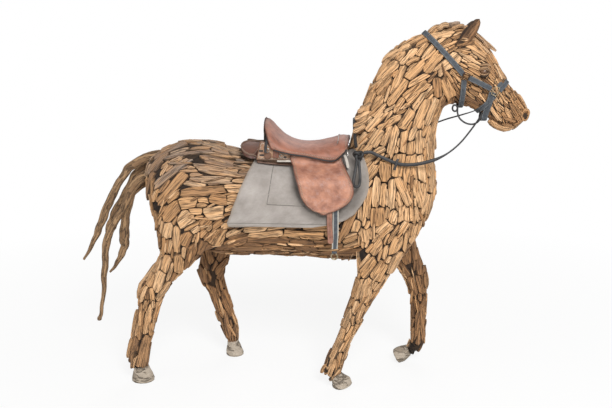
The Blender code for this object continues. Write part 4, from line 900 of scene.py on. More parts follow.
def makeChip(name, kind, rng):
    bm = bmesh.new()
    outline = chipOutline(kind, rng)
    count = len(outline)
    rings = []
    lean = rng.uniform(-0.18, 0.18)
    for size, height in ((1.0, -1.2), (1.0, 0.26), (1.0 - kind["bevel"], 0.5)):
        ring = []
        for x, y in outline:
            wobble = lean * y * 2 + rng.uniform(-0.09, 0.09) if height > 0 else 0.0
            ring.append(bm.verts.new((x * (1.0 - (1.0 - size) * 0.45), y * size, height + wobble)))
        rings.append(ring)
    ridge = [bm.verts.new((x + rng.uniform(-0.06, 0.06), rng.uniform(-0.14, 0.14),
                           0.5 + kind["crown"] + rng.uniform(-0.05, 0.07))) for x in (-0.25, 0.25)]
    for lower, upper in zip(rings, rings[1:]):
        for i in range(count):
            bm.faces.new((lower[i], lower[(i + 1) % count], upper[(i + 1) % count], upper[i]))
    top = rings[-1]
    for i in range(count):
        a, b = top[i], top[(i + 1) % count]
        ends = [0 if vert.co.x < 0.0 else 1 for vert in (a, b)]
        if ends[0] == ends[1]:
            bm.faces.new((a, b, ridge[ends[0]]))
        else:
            bm.faces.new((a, b, ridge[ends[1]], ridge[ends[0]]))
    bmesh.ops.recalc_face_normals(bm, faces=bm.faces)
    uv = bm.loops.layers.uv.new("UVMap")
    for face in bm.faces:
        for loop in face.loops:
            co = loop.vert.co
            loop[uv].uv = (co.x, co.y + co.z * 0.3)
    mesh = bpy.data.meshes.new(name)
    bm.to_mesh(mesh)
    bm.free()
    markPoints(mesh, chipTop=[0.0] * count + [0.55] * count + [0.93] * count + [1.0, 1.0])
    mesh.materials.append(driftwood)
    return bpy.data.objects.new(name, mesh)


def makeChipShelf():
    # the variants, removed again once the splinters are laid
    rng = random.Random(5)
    shelf = bpy.data.collections.new("splinterShapes")
    bpy.context.scene.collection.children.link(shelf)
    for number in range(splinterVariants):
        shelf.objects.link(makeChip(f"splinter{number}", splinter, rng))
    return shelf


# Geometry Nodes: a chip on each marked point, along the point's grain and at its size

def makeChipTree():
    tree = bpy.data.node_groups.new("layChips", "GeometryNodeTree")
    face = tree.interface
    face.new_socket("Geometry", in_out="INPUT", socket_type="NodeSocketGeometry")
    face.new_socket("Geometry", in_out="OUTPUT", socket_type="NodeSocketGeometry")
    for label, kind in (("Chips", "Collection"), ("Seed", "Int"), ("Roll", "Float"), ("Tilt", "Float"),
                        ("Material", "Material")):
        face.new_socket(label, in_out="INPUT", socket_type="NodeSocket" + kind)
    nodes, links = tree.nodes, tree.links
    given = nodes.new("NodeGroupInput").outputs

    def put(socket, value):
        if isinstance(value, bpy.types.NodeSocket):
            links.new(value, socket)
        else:
            socket.default_value = value

    def add(kind, settings=None, **inputs):
        node = nodes.new(kind)
        for key, value in (settings or {}).items():
            setattr(node, key, value)
        for key, value in inputs.items():
            put(node.inputs[key.replace("_", " ")], value)
        return node

    def named(name, kind):
        return add("GeometryNodeInputNamedAttribute", {"data_type": kind}, Name=name).outputs[0]

    def maths(operation, first, second):
        node = add("ShaderNodeMath", {"operation": operation})
        put(node.inputs[0], first)
        put(node.inputs[1], second)
        return node.outputs[0]

    def chance(low, high, step):
        node = add("FunctionNodeRandomValue", {"data_type": "FLOAT"})
        put(node.inputs[2], low)
        put(node.inputs[3], high)
        put(node.inputs[8], maths("ADD", given["Seed"], step))
        return node.outputs[1]

    upright = add("FunctionNodeAlignRotationToVector", {"axis": "Z"},
                  Vector=named("chipNormal", "FLOAT_VECTOR"))
    aligned = add("FunctionNodeAlignRotationToVector", {"axis": "X", "pivot_axis": "Z"},
                  Rotation=upright.outputs[0], Vector=named("chipFlow", "FLOAT_VECTOR"))
    turns = add("ShaderNodeCombineXYZ")
    put(turns.inputs[0], maths("MULTIPLY", chance(-1.0, 1.0, 2), given["Roll"]))
    put(turns.inputs[1], maths("MULTIPLY", chance(-1.0, 1.0, 3), given["Tilt"]))
    euler = add("FunctionNodeEulerToRotation")
    put(euler.inputs[0], turns.outputs[0])
    turned = add("FunctionNodeRotateRotation", {"rotation_space": "LOCAL"}, Rotation=aligned.outputs[0])
    put(turned.inputs[1], euler.outputs[0])
    shapes = add("GeometryNodeCollectionInfo", None, Collection=given["Chips"], Separate_Children=True,
                 Reset_Children=True)
    pick = add("FunctionNodeRandomValue", {"data_type": "INT"})
    put(pick.inputs[4], 0)
    put(pick.inputs[5], splinterVariants - 1)
    put(pick.inputs[8], given["Seed"])
    laid = add("GeometryNodeInstanceOnPoints", None, Points=given["Geometry"], Instance=shapes.outputs[0],
               Pick_Instance=True, Instance_Index=pick.outputs[2], Rotation=turned.outputs[0],
               Scale=named("chipSize", "FLOAT_VECTOR"))
    toned = add("GeometryNodeStoreNamedAttribute", {"data_type": "FLOAT", "domain": "INSTANCE"},
                Geometry=laid.outputs[0], Name="chipTone", Value=chance(0.0, 1.0, 8))
    real = add("GeometryNodeRealizeInstances", None, Geometry=toned.outputs[0])
    painted = add("GeometryNodeSetMaterial", None, Geometry=real.outputs[0], Material=given["Material"])
    links.new(painted.outputs[0], nodes.new("NodeGroupOutput").inputs[0])
    return tree


def laySplinters(chips, tree, shelf, seed):
    # the places as points with their own direction and size, and the chips that the tree lays on them
    mesh = bpy.data.meshes.new("chipPlaces")
    mesh.from_pydata([list(chip["place"] + chip["normal"] * 0.006) for chip in chips], [], [])
    markVectors(mesh, chipNormal=[chip["normal"] for chip in chips],
                chipFlow=[chip["flow"] for chip in chips],
                chipSize=[(chip["length"], chip["width"], chip["height"]) for chip in chips])
    markPoints(mesh, chipGrey=[chip["grey"] for chip in chips])
    places = linked(bpy.data.objects.new("chipPlaces", mesh))
    modifier = places.modifiers.new("chips", "NODES")
    modifier.node_group = tree
    values = {"Chips": shelf, "Seed": seed, "Roll": 0.30, "Tilt": 0.07, "Material": driftwood}
    for item in tree.interface.items_tree:
        if item.in_out == "INPUT" and item.name in values:
            modifier[item.identifier] = values[item.name]
    result = evaluated(places, "chips")
    remove(places)
    return result


# What goes where: large chips first, then smaller ones into what is left. Metres, spin in degrees.

longSlabs = {"length": (0.150, 0.290), "width": (0.034, 0.062), "height": 0.010, "spin": 4, "overlap": 0.10,
             "tilt": 0.006}
midSlabs = dict(longSlabs, length=(0.080, 0.150), width=(0.024, 0.042), spin=7, overlap=0.22)
logs = dict(longSlabs, length=(0.130, 0.260), width=(0.030, 0.052), height=0.012, spin=5)
midLogs = dict(logs, length=(0.070, 0.150), width=(0.022, 0.036), overlap=0.24)
blocks = {"length": (0.075, 0.125), "width": (0.050, 0.078), "height": 0.010, "spin": 16, "overlap": 0.10,
          "tilt": 0.004}
midBlocks = dict(blocks, length=(0.050, 0.095), width=(0.028, 0.044), overlap=0.24)
neckSlabs = {"length": (0.090, 0.170), "width": (0.034, 0.060), "height": 0.012, "spin": 11, "overlap": 0.10,
             "tilt": 0.010}
neckChips = dict(neckSlabs, length=(0.055, 0.110), width=(0.024, 0.042), spin=16, overlap=0.24)
fillers = {"length": (0.045, 0.100), "width": (0.013, 0.024), "height": 0.008, "spin": 12, "overlap": 0.42,
           "tilt": 0.003}
faceSlabs = {"length": (0.060, 0.120), "width": (0.014, 0.026), "height": 0.006, "spin": 6, "overlap": 0.12,
             "tilt": 0.004}
faceChips = dict(faceSlabs, length=(0.035, 0.070), width=(0.008, 0.015), spin=9, overlap=0.38)
planks = {"length": (0.110, 0.240), "width": (0.026, 0.042), "height": 0.008, "spin": 5, "overlap": 0.12,
          "tilt": 0.004}
legChips = dict(planks, length=(0.055, 0.120), width=(0.016, 0.028), spin=9, overlap=0.30)
legBlocks = dict(blocks, length=(0.080, 0.150), width=(0.036, 0.056), spin=10)
splinters = {"length": (0.050, 0.130), "width": (0.008, 0.017), "height": 0.016, "spin": 9, "overlap": 0.05,
             "tilt": 0.0}

cladding = {
    "rump": [("high", longSlabs), ("low", blocks), ("high", midSlabs), ("low", midBlocks), ("all", fillers)],
    "barrel": [("high", longSlabs), ("low", logs), ("high", midSlabs), ("low", midLogs), ("all", fillers)],
    "chest": [("high", neckSlabs), ("low", blocks), ("high", neckChips), ("low", midBlocks),
              ("all", fillers)],
    "neck_lower": [("all", neckSlabs), ("all", neckChips), ("all", fillers)],
    "neck_upper": [("all", neckSlabs), ("all", neckChips), ("all", fillers)],
    "head": [("all", faceSlabs), ("all", faceChips)],
}
for node in upperLegs:
    cladding[node] = [("all", legBlocks), ("all", legChips), ("all", fillers)]
for node in lowerLegs:
    cladding[node] = [("all", planks), ("all", legChips), ("all", fillers)]
regionEdge = {"rump": 0.97, "barrel": 0.93, "chest": 0.96}


def packChips(facts, index, region, layer, rng, claimed, share=1.0):
    # seeds on the section's free points, each on its own patch of skin
    points, normals, flows = facts["points"], facts["normals"], facts["flows"]
    own = np.nonzero((facts["section"] == index) & facts["room"] & ~claimed)[0]
    if region != "all":
        edge = regionEdge[clad[index]]
        high = np.array([points[i][2] - 0.10 * noise.noise(Vector(points[i]) * 5.0) > edge for i in own])
        own = own[high if region == "high" else ~high]
    chips = []
    for at in rng.permutation(own):
        if claimed[at] or (share < 1.0 and rng.random() > share):
            continue
        length = rng.uniform(*layer["length"])
        width = rng.uniform(*layer["width"])
        turn = math.radians(rng.normal(0.0, layer["spin"]))
        place, normal = points[at], normals[at]
        side = np.cross(normal, flows[at])
        flow = flows[at] * math.cos(turn) + side * math.sin(turn)
        side = np.cross(normal, flow)
        near = facts["cells"][tuple(np.floor(place / cellSize).astype(int))]
        away = points[near] - place
        inside = near[(np.abs(away @ flow) < length * 0.5) & (np.abs(away @ side) < width * 0.5)
                      & (np.abs(away @ normal) < 0.05)]
        if len(inside) == 0 or claimed[inside].mean() > layer["overlap"]:
            continue
        claimed[inside] = True
        rise = facts["rise"][at]
        # Painted shade: the legs' inner sides and the belly, where shade falls, take only the darkest tones
        shaded = index >= len(trunk) and place[1] * normal[1] < 0.0 or normal[2] < -0.5
        # painted light: the chest, lower neck and near fore leg take paler tones, as if lit from the front and
        # the near side
        paintedLight = 0.30 if clad[index] in paintedLightParts else 0.0
        chips.append({"place": place, "normal": normal, "flow": flow, "side": side, "section": index,
                      "length": length, "width": width,
                      "height": layer["height"] * rng.uniform(0.65, 1.35) * (0.4 + 0.6 * rise),
                      "tilt": layer["tilt"] * rng.uniform(-0.4, 1.0) * rise,
                      "grey": facts["grey"][at] * rng.uniform(0.2, 0.85),
                      "tone": rng.random() * 0.05 if shaded else paintedLight + rng.random() * (1.0 - paintedLight)})
    return chips


# parts painted paler as painted light
paintedLightParts = ("chest", "neck_lower", "right_fore_upper_leg", "right_fore_lower_leg")
paving = {"corners": 14, "power": 3.3, "reach": 1.5, "gap": 0.0017, "steps": 26, "follow": 0.65,
          "root": 0.014, "bevel": 0.0024, "pits": 0.12, "pitWidth": 0.019}


def cutOutline(chip, around, rng):
    # the chip grows from its seed until it meets its neighbours: an uneven paving with thin gaps
    power = paving["power"]
    start = rng.uniform(0.0, math.tau / paving["corners"])
    angles = start + np.arange(paving["corners"]) * math.tau / paving["corners"]
    angles = angles + rng.uniform(-0.12, 0.12, paving["corners"])
    c, s = np.cos(angles), np.sin(angles)
    u = chip["length"] / 2 * np.sign(c) * np.abs(c) ** (2 / power)
    v = chip["width"] / 2 * np.sign(s) * np.abs(s) ** (2 / power)
    reach = np.linspace(0.15, paving["reach"], paving["steps"])
    rays = u[:, None] * chip["flow"] + v[:, None] * chip["side"]
    grown = np.full(paving["corners"], paving["reach"])
    if around:
        points = chip["place"] + reach[None, :, None] * rays[:, None, :]
        away = points[:, :, None, :] - np.array([other["place"] for other in around])
        far = 0.0
        for key, sizes in (("flow", [other["length"] / 2 for other in around]),
                           ("side", [other["width"] / 2 for other in around]),
                           ("normal", [0.06] * len(around))):
            axis = np.array([other[key] for other in around])
            far = far + (np.abs((away * axis).sum(-1)) / np.array(sizes)) ** power
        met = far.min(-1) ** (1 / power) < reach
        first = np.where(met.any(1), met.argmax(1), len(reach) - 1)
        grown = reach[first]
    lengths = np.linalg.norm(rays, axis=1)
    grown = grown * (1.0 - rng.uniform(0.0, 0.05, len(grown)) * (0.4 + np.abs(c))) - paving["gap"] / lengths
    return u * np.maximum(grown, 0.12), v * np.maximum(grown, 0.12)


def paveChips(seeds, skinTree, rng):
    # for each section, one mesh of chips with rounded upper edges, sunk into the core
    tree = KDTree(len(seeds))
    for index, chip in enumerate(seeds):
        tree.insert(chip["place"], index)
    tree.balance()
    longest = max(chip["length"] for chip in seeds) / 2
    made = {}
    for index, chip in enumerate(seeds):
        if chip["section"] is None:
            continue
        found = tree.find_range(chip["place"], chip["length"] * 0.75 + longest)
        around = [seeds[k] for _, k, apart in found
                  if k != index and apart < chip["length"] * 0.75 + seeds[k]["length"] / 2]
        u, v = cutOutline(chip, around, rng)
        count = len(u)
        place, normal = Vector(chip["place"]), Vector(chip["normal"])
        flow, side = Vector(chip["flow"]), Vector(chip["side"])
        feet = []
        for k in range(count):
            for _ in range(4):
                flat = place + flow * u[k] + side * v[k]
                skin = skinTree.find_nearest(flat)[0]
                if (skin - flat).length < 0.020:
                    break
                u[k] *= 0.78
                v[k] *= 0.78
            feet.append(min(max((skin - flat).dot(normal), -0.02), 0.012) * paving["follow"])
        half = chip["length"] / 2
        lean = rng.uniform(-0.004, 0.004) * min(chip["height"] / 0.010, 1.0)
        top = []
        for a, b in zip(u, v):
            high = chip["height"] + chip["tilt"] * a / half + lean * b / chip["width"] * 2
            top.append(high + rng.uniform(-0.0008, 0.0008))
        rings = [(0.97, [-paving["root"]] * count), (1.0, [h - paving["bevel"] for h in top]),
                 (None, top)]
        lists = {key: [] for key in ("verts", "faces", "uvs", "tops", "tones", "greys")}
        data = made.setdefault(chip["section"], lists)
        base = len(data["verts"])
        inset = paving["bevel"]
        for (size, heights), mark in zip(rings, (0.0, 0.62, 1.0)):
            for k in range(count):
                share = size if size else max(1.0 - inset / max(math.hypot(u[k], v[k]), 0.004), 0.5)
                a, b = u[k] * share, v[k] * share
                data["verts"].append(place + flow * a + side * b + normal * (feet[k] + heights[k]))
                data["uvs"].append((a, b + (0.6 * heights[k] if mark < 1.0 else 0.0)))
                data["tops"].append(mark)
        foot = sum(feet) / count
        for share in (-0.3, 0.3):
            ends = [k for k in range(count) if u[k] * share > 0]
            reach = sum(abs(u[k]) for k in ends) / max(len(ends), 1)
            a = reach * (0.6 if share > 0 else -0.6)
            b = sum(v[k] for k in ends) / max(len(ends), 1) * 0.5
            height = chip["height"] + chip["tilt"] * a / half + rng.uniform(0.0, 0.0016)
            data["verts"].append(place + flow * a + side * b + normal * (foot * 0.5 + height))
            data["uvs"].append((a, b))
            data["tops"].append(1.0)
        for lower in (0, count):
            for k in range(count):
                j = (k + 1) % count
                data["faces"].append((base + lower + k, base + lower + j, base + lower + count + j,
                                      base + lower + count + k))
        for k in range(count):
            j = (k + 1) % count
            ends = [3 * count + (1 if u[m] > 0 else 0) for m in (j, k)]
            corners = [2 * count + k, 2 * count + j] + (ends if ends[0] != ends[1] else ends[:1])
            data["faces"].append([base + corner for corner in corners])
        data["tones"] += [chip["tone"]] * (3 * count + 2)
        data["greys"] += [chip["grey"]] * (3 * count + 2)
    return made


def pavedMesh(data):
    mesh = bpy.data.meshes.new("paving")
    mesh.from_pydata([list(vert) for vert in data["verts"]], [], data["faces"])
    uv = mesh.uv_layers.new(name="UVMap")
    spots = np.array(data["uvs"])
    corners = np.empty(len(mesh.loops), np.int32)
    mesh.loops.foreach_get("vertex_index", corners)
    uv.data.foreach_set("uv", spots[corners].ravel())
    markPoints(mesh, chipTop=data["tops"], chipTone=data["tones"], chipGrey=data["greys"])
    markVectors(mesh, chipSize=[(1, 1, 1)] * len(mesh.vertices))
    mesh.materials.append(driftwood)
    return mesh


clearings = [((0.919, 1.601), 0.050, 0.042, -20), ((0.812, 1.738), 0.052, 0.030, 50)]


def keptClear(skinTree):
    # places that no chip grows over: the eyes and the ears' roots, as x, z, sizes and turn
    places = []
    for (x, z), length, width, turn in clearings:
        for _, side in sides:
            hit, normal = skinTree.ray_cast(Vector((x, side * 0.5, z)), Vector((0, -side, 0)))[:2]
            along = Vector((math.cos(math.radians(turn)), 0, math.sin(math.radians(turn))))
            flow = (along - normal * along.dot(normal)).normalized()
            places.append({"place": np.array(hit), "normal": np.array(normal), "flow": np.array(flow),
                           "side": np.array(normal.cross(flow)), "length": length, "width": width,
                           "section": None})
    return places


def makeCladding(shelf, tree):
    skin = makeSkin()
    facts = markSkin(skin)
    print("skin marked:", len(facts["points"]), "points")
    rng = np.random.default_rng(12)
    claimed = np.zeros(len(facts["points"]), bool)
    seeds = []
    for index, node in enumerate(clad):
        for region, layer in cladding[node]:
            seeds += packChips(facts, index, region, layer, rng, claimed)
    whole = ("head",) + paintedLightParts
    for chip in seeds:
        # small places left open are the dark holes between the pieces, where the near-black core shows as
        # painted shade
        small = chip["width"] < paving["pitWidth"] and clad[chip["section"]] not in whole
        if small and rng.random() < paving["pits"]:
            chip["section"] = None
    skinTree = treeFrom(gathered(skin.data))
    seeds += keptClear(skinTree)
    made = paveChips(seeds, skinTree, rng)
    print("chips laid:", len(seeds))
    # the splinters lie across the chips, so all the skin is free for them
    claimed[:] = False
    count = 0
    for index, node in enumerate(clad):
        meshes = [pavedMesh(made[index])]
        chips = packChips(facts, index, "all", splinters, rng, claimed, share=0.012)
        if chips and node != "head":
            count += len(chips)
            meshes.append(laySplinters(chips, tree, shelf, index))
        settleWood(pieceFrom(node + "Chips", gathered(*meshes), driftwood), node)
    print("splinters laid:", count)
    settleWood(skin)


shelf = makeChipShelf()
chipTree = makeChipTree()
makeCladding(shelf, chipTree)


# Points on the CAD's own surfaces

drapeAxis = 0.930


def hitFrom(tree, start, toward, fallback):
    # the first surface met, or the one nearest to the fallback where the ray passes an edge
    hit = tree.ray_cast(start, toward, 2.0)[0]
    return hit if hit is not None else tree.find_nearest(fallback)[0]


def drapedOn(tree, x, degrees):
    # the outermost point over the back at a turn from its top, positive towards the left side
    a = math.radians(degrees)
    out = Vector((0.0, math.sin(a), math.cos(a)))
    axis = Vector((x, 0.0, drapeAxis))
    return hitFrom(tree, axis + out * 0.8, -out, axis + out * 0.29), out


def sideOn(tree, x, z, side, reach=0.3):
    out = Vector((0.0, side, 0.0))
    return hitFrom(tree, Vector((x, side * 0.8, z)), -out, Vector((x, side * reach, z)))


def smoothed(points, rounds=2):
    for _ in range(rounds):
        between = [(a + b * 2 + c) / 4 for a, b, c in zip(points, points[1:], points[2:])]
        points = [points[0]] + between + [points[-1]]
    return points


def lineLength(points):
    return sum((b - a).length for a, b in zip(points, points[1:]))


# Reins, the loop under the jaw and the knot beside the withers

reinRightRoute = [
    (0.923, -0.074, 1.404), (0.901, -0.100, 1.372), (0.855, -0.150, 1.318), (0.809, -0.185, 1.268),
    (0.761, -0.205, 1.228), (0.714, -0.214, 1.200), (0.667, -0.218, 1.182), (0.597, -0.219, 1.166),
    (0.526, -0.222, 1.166), (0.477, -0.221, 1.182), (0.423, -0.218, 1.205), (0.385, -0.218, 1.222),
    (0.352, -0.222, 1.220)]
reinLeftRoute = [
    (0.923, 0.074, 1.411), (0.891, 0.095, 1.396), (0.835, 0.140, 1.374), (0.775, 0.172, 1.353),
    (0.705, 0.192, 1.324), (0.625, 0.200, 1.293), (0.535, 0.204, 1.268), (0.455, 0.200, 1.262),
    (0.385, 0.183, 1.278), (0.331, 0.152, 1.308), (0.311, 0.106, 1.336), (0.303, 0.052, 1.361),
    (0.301, 0.000, 1.369), (0.301, -0.052, 1.358), (0.303, -0.104, 1.326), (0.309, -0.160, 1.272),
    (0.315, -0.196, 1.242)]
reinTailRoute = [
    (0.321, -0.246, 1.192), (0.317, -0.266, 1.164), (0.311, -0.288, 1.129), (0.307, -0.302, 1.100),
    (0.306, -0.306, 1.085), (0.310, -0.305, 1.073), (0.3205, -0.303, 1.067), (0.331, -0.298, 1.0725),
    (0.335, -0.291, 1.086), (0.336, -0.288, 1.110), (0.333, -0.271, 1.148), (0.329, -0.252, 1.186)]
jawLoopRoute = [
    (0.807, -0.040, 1.424), (0.807, -0.052, 1.398), (0.819, -0.060, 1.372), (0.847, -0.062, 1.352),
    (0.879, -0.058, 1.346), (0.905, -0.050, 1.356), (0.923, -0.044, 1.378)]
knotAt = Vector((0.326, -0.228, 1.206))
reinSizes = {"strap": 0.0082, "hanging": 0.0040, "tail": 0.0068, "loop": 0.0042, "flat": 0.42,
             "knot": 0.0078, "coil": 0.0074}


def cordLine(route, count):
    return [Vector(splineValue(route, (len(route) - 1) * k / (count - 1))) for k in range(count)]


def makeKnot():
    # a trefoil: the shape of one plain overhand knot pulled together
    points = []
    for a in spread(0.0, math.tau, 61):
        points.append(knotAt + Vector((math.sin(a) + 2 * math.sin(2 * a), -0.9 * math.sin(3 * a),
                                       math.cos(a) - 2 * math.cos(2 * a))) * reinSizes["coil"])
    return tubePiece("reinKnot", points, reinSizes["knot"], reinLeather, 10, Vector((0, -1, 0.2)), 0.8, 0.05)


def makeReins():
    knot = makeKnot()
    hint = Vector((0.0, -1.0, 0.12))
    keeperLine = [Vector((0.514, -0.2300, 1.192)), Vector((0.509, -0.2335, 1.180)),
                  Vector((0.503, -0.2335, 1.158)), Vector((0.498, -0.2300, 1.140))]
    keeper = ribbonPiece("reinKeeper", keeperLine, Vector((0, -1, 0)), 0.012, 0.004, reinLeather)
    knotPieces = [settle(knot, "horse", "rein_leather", "rein_knot"), settle(keeper, "horse", "rein_leather")]
    # A cord's half widths are those at its start and at its end, and change at that share of its length
    cords = {
        "reinRight": {"route": reinRightRoute, "node": "rein_right", "end": "knot", "with": knotPieces,
                      "halves": ("hanging", "strap"), "change": 0.42},
        "reinLeft": {"route": reinLeftRoute, "node": "rein_left", "end": "knot", "with": [],
                     "halves": ("hanging", "strap"), "change": 0.30},
        "reinTail": {"route": reinTailRoute, "node": "rein_tail_loop", "end": "knot", "with": [],
                     "halves": ("tail", "tail"), "change": 0.50},
        "jawLoop": {"route": jawLoopRoute, "node": "jaw_loop", "end": "object", "with": [],
                    "halves": ("loop", "loop"), "change": 0.50},
    }
    for name, cord in cords.items():
        points = cordLine(cord["route"], len(cord["route"]) * 6)
        first, last = (reinSizes[half] for half in cord["halves"])
        widths = [first + (last - first) * eased(cord["change"] - 0.08, cord["change"] + 0.08, share)
                  for share in spread(0.0, 1.0, len(points))]
        outs = hint
        if name == "reinLeft":
            # its flat side looks away from the neck: outwards at the sides, up over the withers
            outs = [Vector((-0.3, point.y * 7.0, 0.1 + max(0.0, 1.0 - abs(point.y) / 0.12)))
                    for point in points]
        piece = tubePiece(name, points, widths, reinLeather, 10, outs, reinSizes["flat"])
        settle(piece, "horse", "rein_leather", cord["node"])
        diameter = 0.0084 if cord["node"] == "jaw_loop" else 0.012
        round(lineLength(points), 3)
        print("cord", name, round(lineLength(points), 3))


makeReins()


# Headcollar: webbing laid on the head's solids, square rings between

crownBand = {"centre": (0.747, 1.666), "top": (0.638, 1.784)}
noseBand = {"centre": (0.973, 1.480), "top": (1.050, 1.562)}
throatBand = {"centre": (0.825, 1.560), "top": (0.831, 1.800)}
cheekRingAt = Vector((0.831, 0.0, 1.578))
noseRingAt = Vector((0.967, 0.0, 1.514))
collar = {"width": 0.026, "thick": 0.0042, "proud": 0.0016, "ring": 0.018, "wire": 0.0022}
headTree = treeOf("head", "neck_upper")


def collarPoint(strap, start, toward, fallback):
    # on the CAD strap's near side where there is one, otherwise as high over the head
    hit = strap.ray_cast(start, toward, 0.38)[0] if strap else None
    if hit is not None:
        return hit - toward * collar["proud"]
    return hitFrom(headTree, start, toward, fallback) - toward * (0.006 + collar["proud"])


def bandPiece(name, node, band, low, high, count, width):
    # a strap round the head, in degrees from the band's top
    centre = Vector((band["centre"][0], 0.0, band["centre"][1]))
    toward = (Vector((band["top"][0], 0.0, band["top"][1])) - centre).normalized()
    strap = treeOf(node)
    points, outs = [], []
    for degrees in spread(low, high, count):
        a = math.radians(degrees)
        out = toward * math.cos(a) + Vector((0.0, math.sin(a), 0.0))
        points.append(collarPoint(strap, centre + out * 0.4, -out, centre + out * 0.1))
        outs.append(out)
    return ribbonPiece(name, smoothed(points, 3), outs, width, collar["thick"], webbing,
                       lift=-collar["thick"])


def sidePiece(name, node, side, start, end, count, width=collar["width"], lift=0.0):
    # a strap along the side of the head
    strap = treeOf(node) if node else None
    out = Vector((0.0, side, 0.0))
    points = []
    for share in spread(0.0, 1.0, count):
        at = start.lerp(end, share)
        points.append(collarPoint(strap, at + out * 0.4, -out, at + out * 0.1))
    return ribbonPiece(name, smoothed(points, 2), out, width, collar["thick"], webbing,
                       lift=lift - collar["thick"], roundEnds=True)


def chinDrop():
    # the broad strap that hangs from both nose rings and passes under the jaw
    half = []
    for share in spread(0.0, 1.0, 12):
        at = noseRingAt + Vector((-0.004, 0, -0.012)) + Vector((-0.026, 0, -0.128)) * share
        start = Vector((at.x, 0.4, max(at.z, 1.402)))
        y = hitFrom(headTree, start, Vector((0, -1, 0)), start - Vector((0, 0.3, 0))).y
        half.append((Vector((at.x, (y + 0.011) * (1.0 - 0.10 * share), at.z)), Vector((0, 1, -0.5 * share))))
    last = half[-1][0]
    for share in (0.25, 0.55, 0.80, 1.0):
        turn = math.pi / 2 * share
        y = last.y * math.cos(turn) ** 0.8 if share < 1.0 else 0.0
        half.append((Vector((last.x, y, last.z - 0.010 * math.sin(turn))), Vector((0, math.cos(turn), -1))))
    line = [(Vector((p.x, -p.y, p.z)), Vector((o.x, -o.y, o.z))) for p, o in half]
    line += list(reversed(half[:-1]))
    points, outs = zip(*line)
    return ribbonPiece("chinDrop", smoothed(list(points), 2), list(outs), 0.031, 0.0050, webbing)


def squareRing(name, side, at, y, along, material, stretch=1.0):
    # a rounded square of round wire, its plane upright, longer or shorter along its own length
    ahead = along.normalized()
    up = Vector((-ahead.z, 0.0, ahead.x))
    corner = 0.005
    reach = (collar["ring"] - collar["wire"] - corner) * math.sqrt(2)
    points = []
    for start in (0.0, math.tau / 4, math.tau / 2, math.tau * 3 / 4):
        middle = Vector((math.cos(start + math.pi / 4), math.sin(start + math.pi / 4))) * reach
        for a in spread(start, start + math.pi / 2, 5):
            spot = middle + Vector((math.cos(a), math.sin(a))) * corner
            points.append(Vector((at.x, side * y, at.z)) + ahead * spot.x * stretch + up * spot.y / stretch)
    points.append(points[0].copy())
    return tubePiece(name, points, collar["wire"], material, 8, Vector((0, side, 0)))


def makeHeadcollar():
    along = noseRingAt - cheekRingAt
    step = along.normalized()
    broad = collar["width"]
    bands = {"crownBand": ("crown_strap", crownBand, -135, 135, 45, broad),
             "noseBand": ("noseband", noseBand, -62, 62, 25, 0.023),
             "chinBand": ("chin_strap", noseBand, 86, 274, 33, 0.024),
             "throatBand": ("throat_strap", throatBand, 90, 270, 37, broad)}
    for name, row in bands.items():
        settle(bandPiece(name, *row), "horse", "webbing", row[0])
    settle(chinDrop(), "horse", "webbing")
    # the ends folded back through the rings: from, to, points, width and lift
    folds = [(cheekRingAt + step * 0.013, cheekRingAt + step * 0.040, 6, broad, 0.004),
             (noseRingAt - step * 0.044, noseRingAt - step * 0.010, 6, broad, 0.004),
             (noseRingAt + Vector((0.024, 0, 0.014)), noseRingAt + Vector((0.046, 0, 0.032)), 5, 0.023, 0.003)]
    for label, side in sides:
        end = label.title()
        strap = sidePiece("cheekBand" + end, "cheek_strap_" + label, side, cheekRingAt + step * 0.017,
                          noseRingAt - step * 0.016, 14)
        settle(strap, "horse", "webbing", "cheek_strap_" + label)
        folded = [sidePiece("fold", None, side, *row) for row in folds]
        settle(joined("strapFolds" + end, folded), "horse", "webbing")
        ring = squareRing("cheekRing" + end, side, cheekRingAt, 0.1185, along, iron)
        settle(ring, "horse", "bright_steel", "cheek_ring_" + label)
        ring = squareRing("noseRing" + end, side, noseRingAt + Vector((0.010, 0, -0.006)), 0.0965,
                          Vector((-0.45, 0, -0.90)), brass, 1.30)
        settle(ring, "horse", "bright_steel", "nose_ring_" + label)
    points = ovalLine(Vector((0.792, -0.058, 1.424)), 0.012, 0.015, 25, 0.003)
    keeper = tubePiece("throatKeeper", points, 0.0044, reinLeather, 8, Vector((0.1, -1, 0)))
    settle(keeper, "horse", "rein_leather")


makeHeadcollar()
print("headcollar made")


# Saddle cloth: one sheet over the back, draped on the CAD one's outer surface

clothEdges = [(0, -0.171, 0.261), (12, -0.176, 0.271), (24, -0.184, 0.301), (36, -0.195, 0.347),
              (48, -0.211, 0.371), (60, -0.229, 0.377), (70, -0.246, 0.369), (80, -0.263, 0.345),
              (90, -0.281, 0.313)]
clothHem = [(0.896, -0.295, 0.261), (0.876, -0.301, 0.195), (0.862, -0.295, 0.105)]
clothSizes = {"thick": 0.007, "proud": 0.001, "rows": 34, "low": 0.8635, "hemRows": 9, "columns": 50}
clothSeamLines = [[(-0.092, 1.178), (-0.094, 1.120), (-0.099, 1.050), (-0.109, 0.972)],
                  [(-0.109, 0.972), (0.000, 0.968), (0.100, 0.965)]]


def clothPoint(tree, x, turn, height, side):
    # outermost CAD cloth at a turn from the top or, below the axis, at a height
    if height is None:
        return drapedOn(tree, x, side * turn)
    return sideOn(tree, x, height, side), Vector((0.0, side, 0.0))


def clothWave(point, side):
    # slack in the cloth: soft waves that grow towards the hem, and two pressed creases
    low = eased(1.10, 0.90, point.z)
    soft = noise.noise(Vector((point.x * 5.0, point.z * 2.2, side * 3.0))) * (0.003 + 0.006 * low)
    fine = noise.noise(Vector((point.x * 22.0, point.z * 14.0, side * 7.0))) * 0.0012
    crease = abs(point.z - 1.055 + 0.35 * (point.x + 0.07))
    crease = min(crease, abs(point.z - 1.025 - 0.10 * point.x))
    return soft + fine - 0.0032 * max(0.0, 1.0 - crease / 0.009)


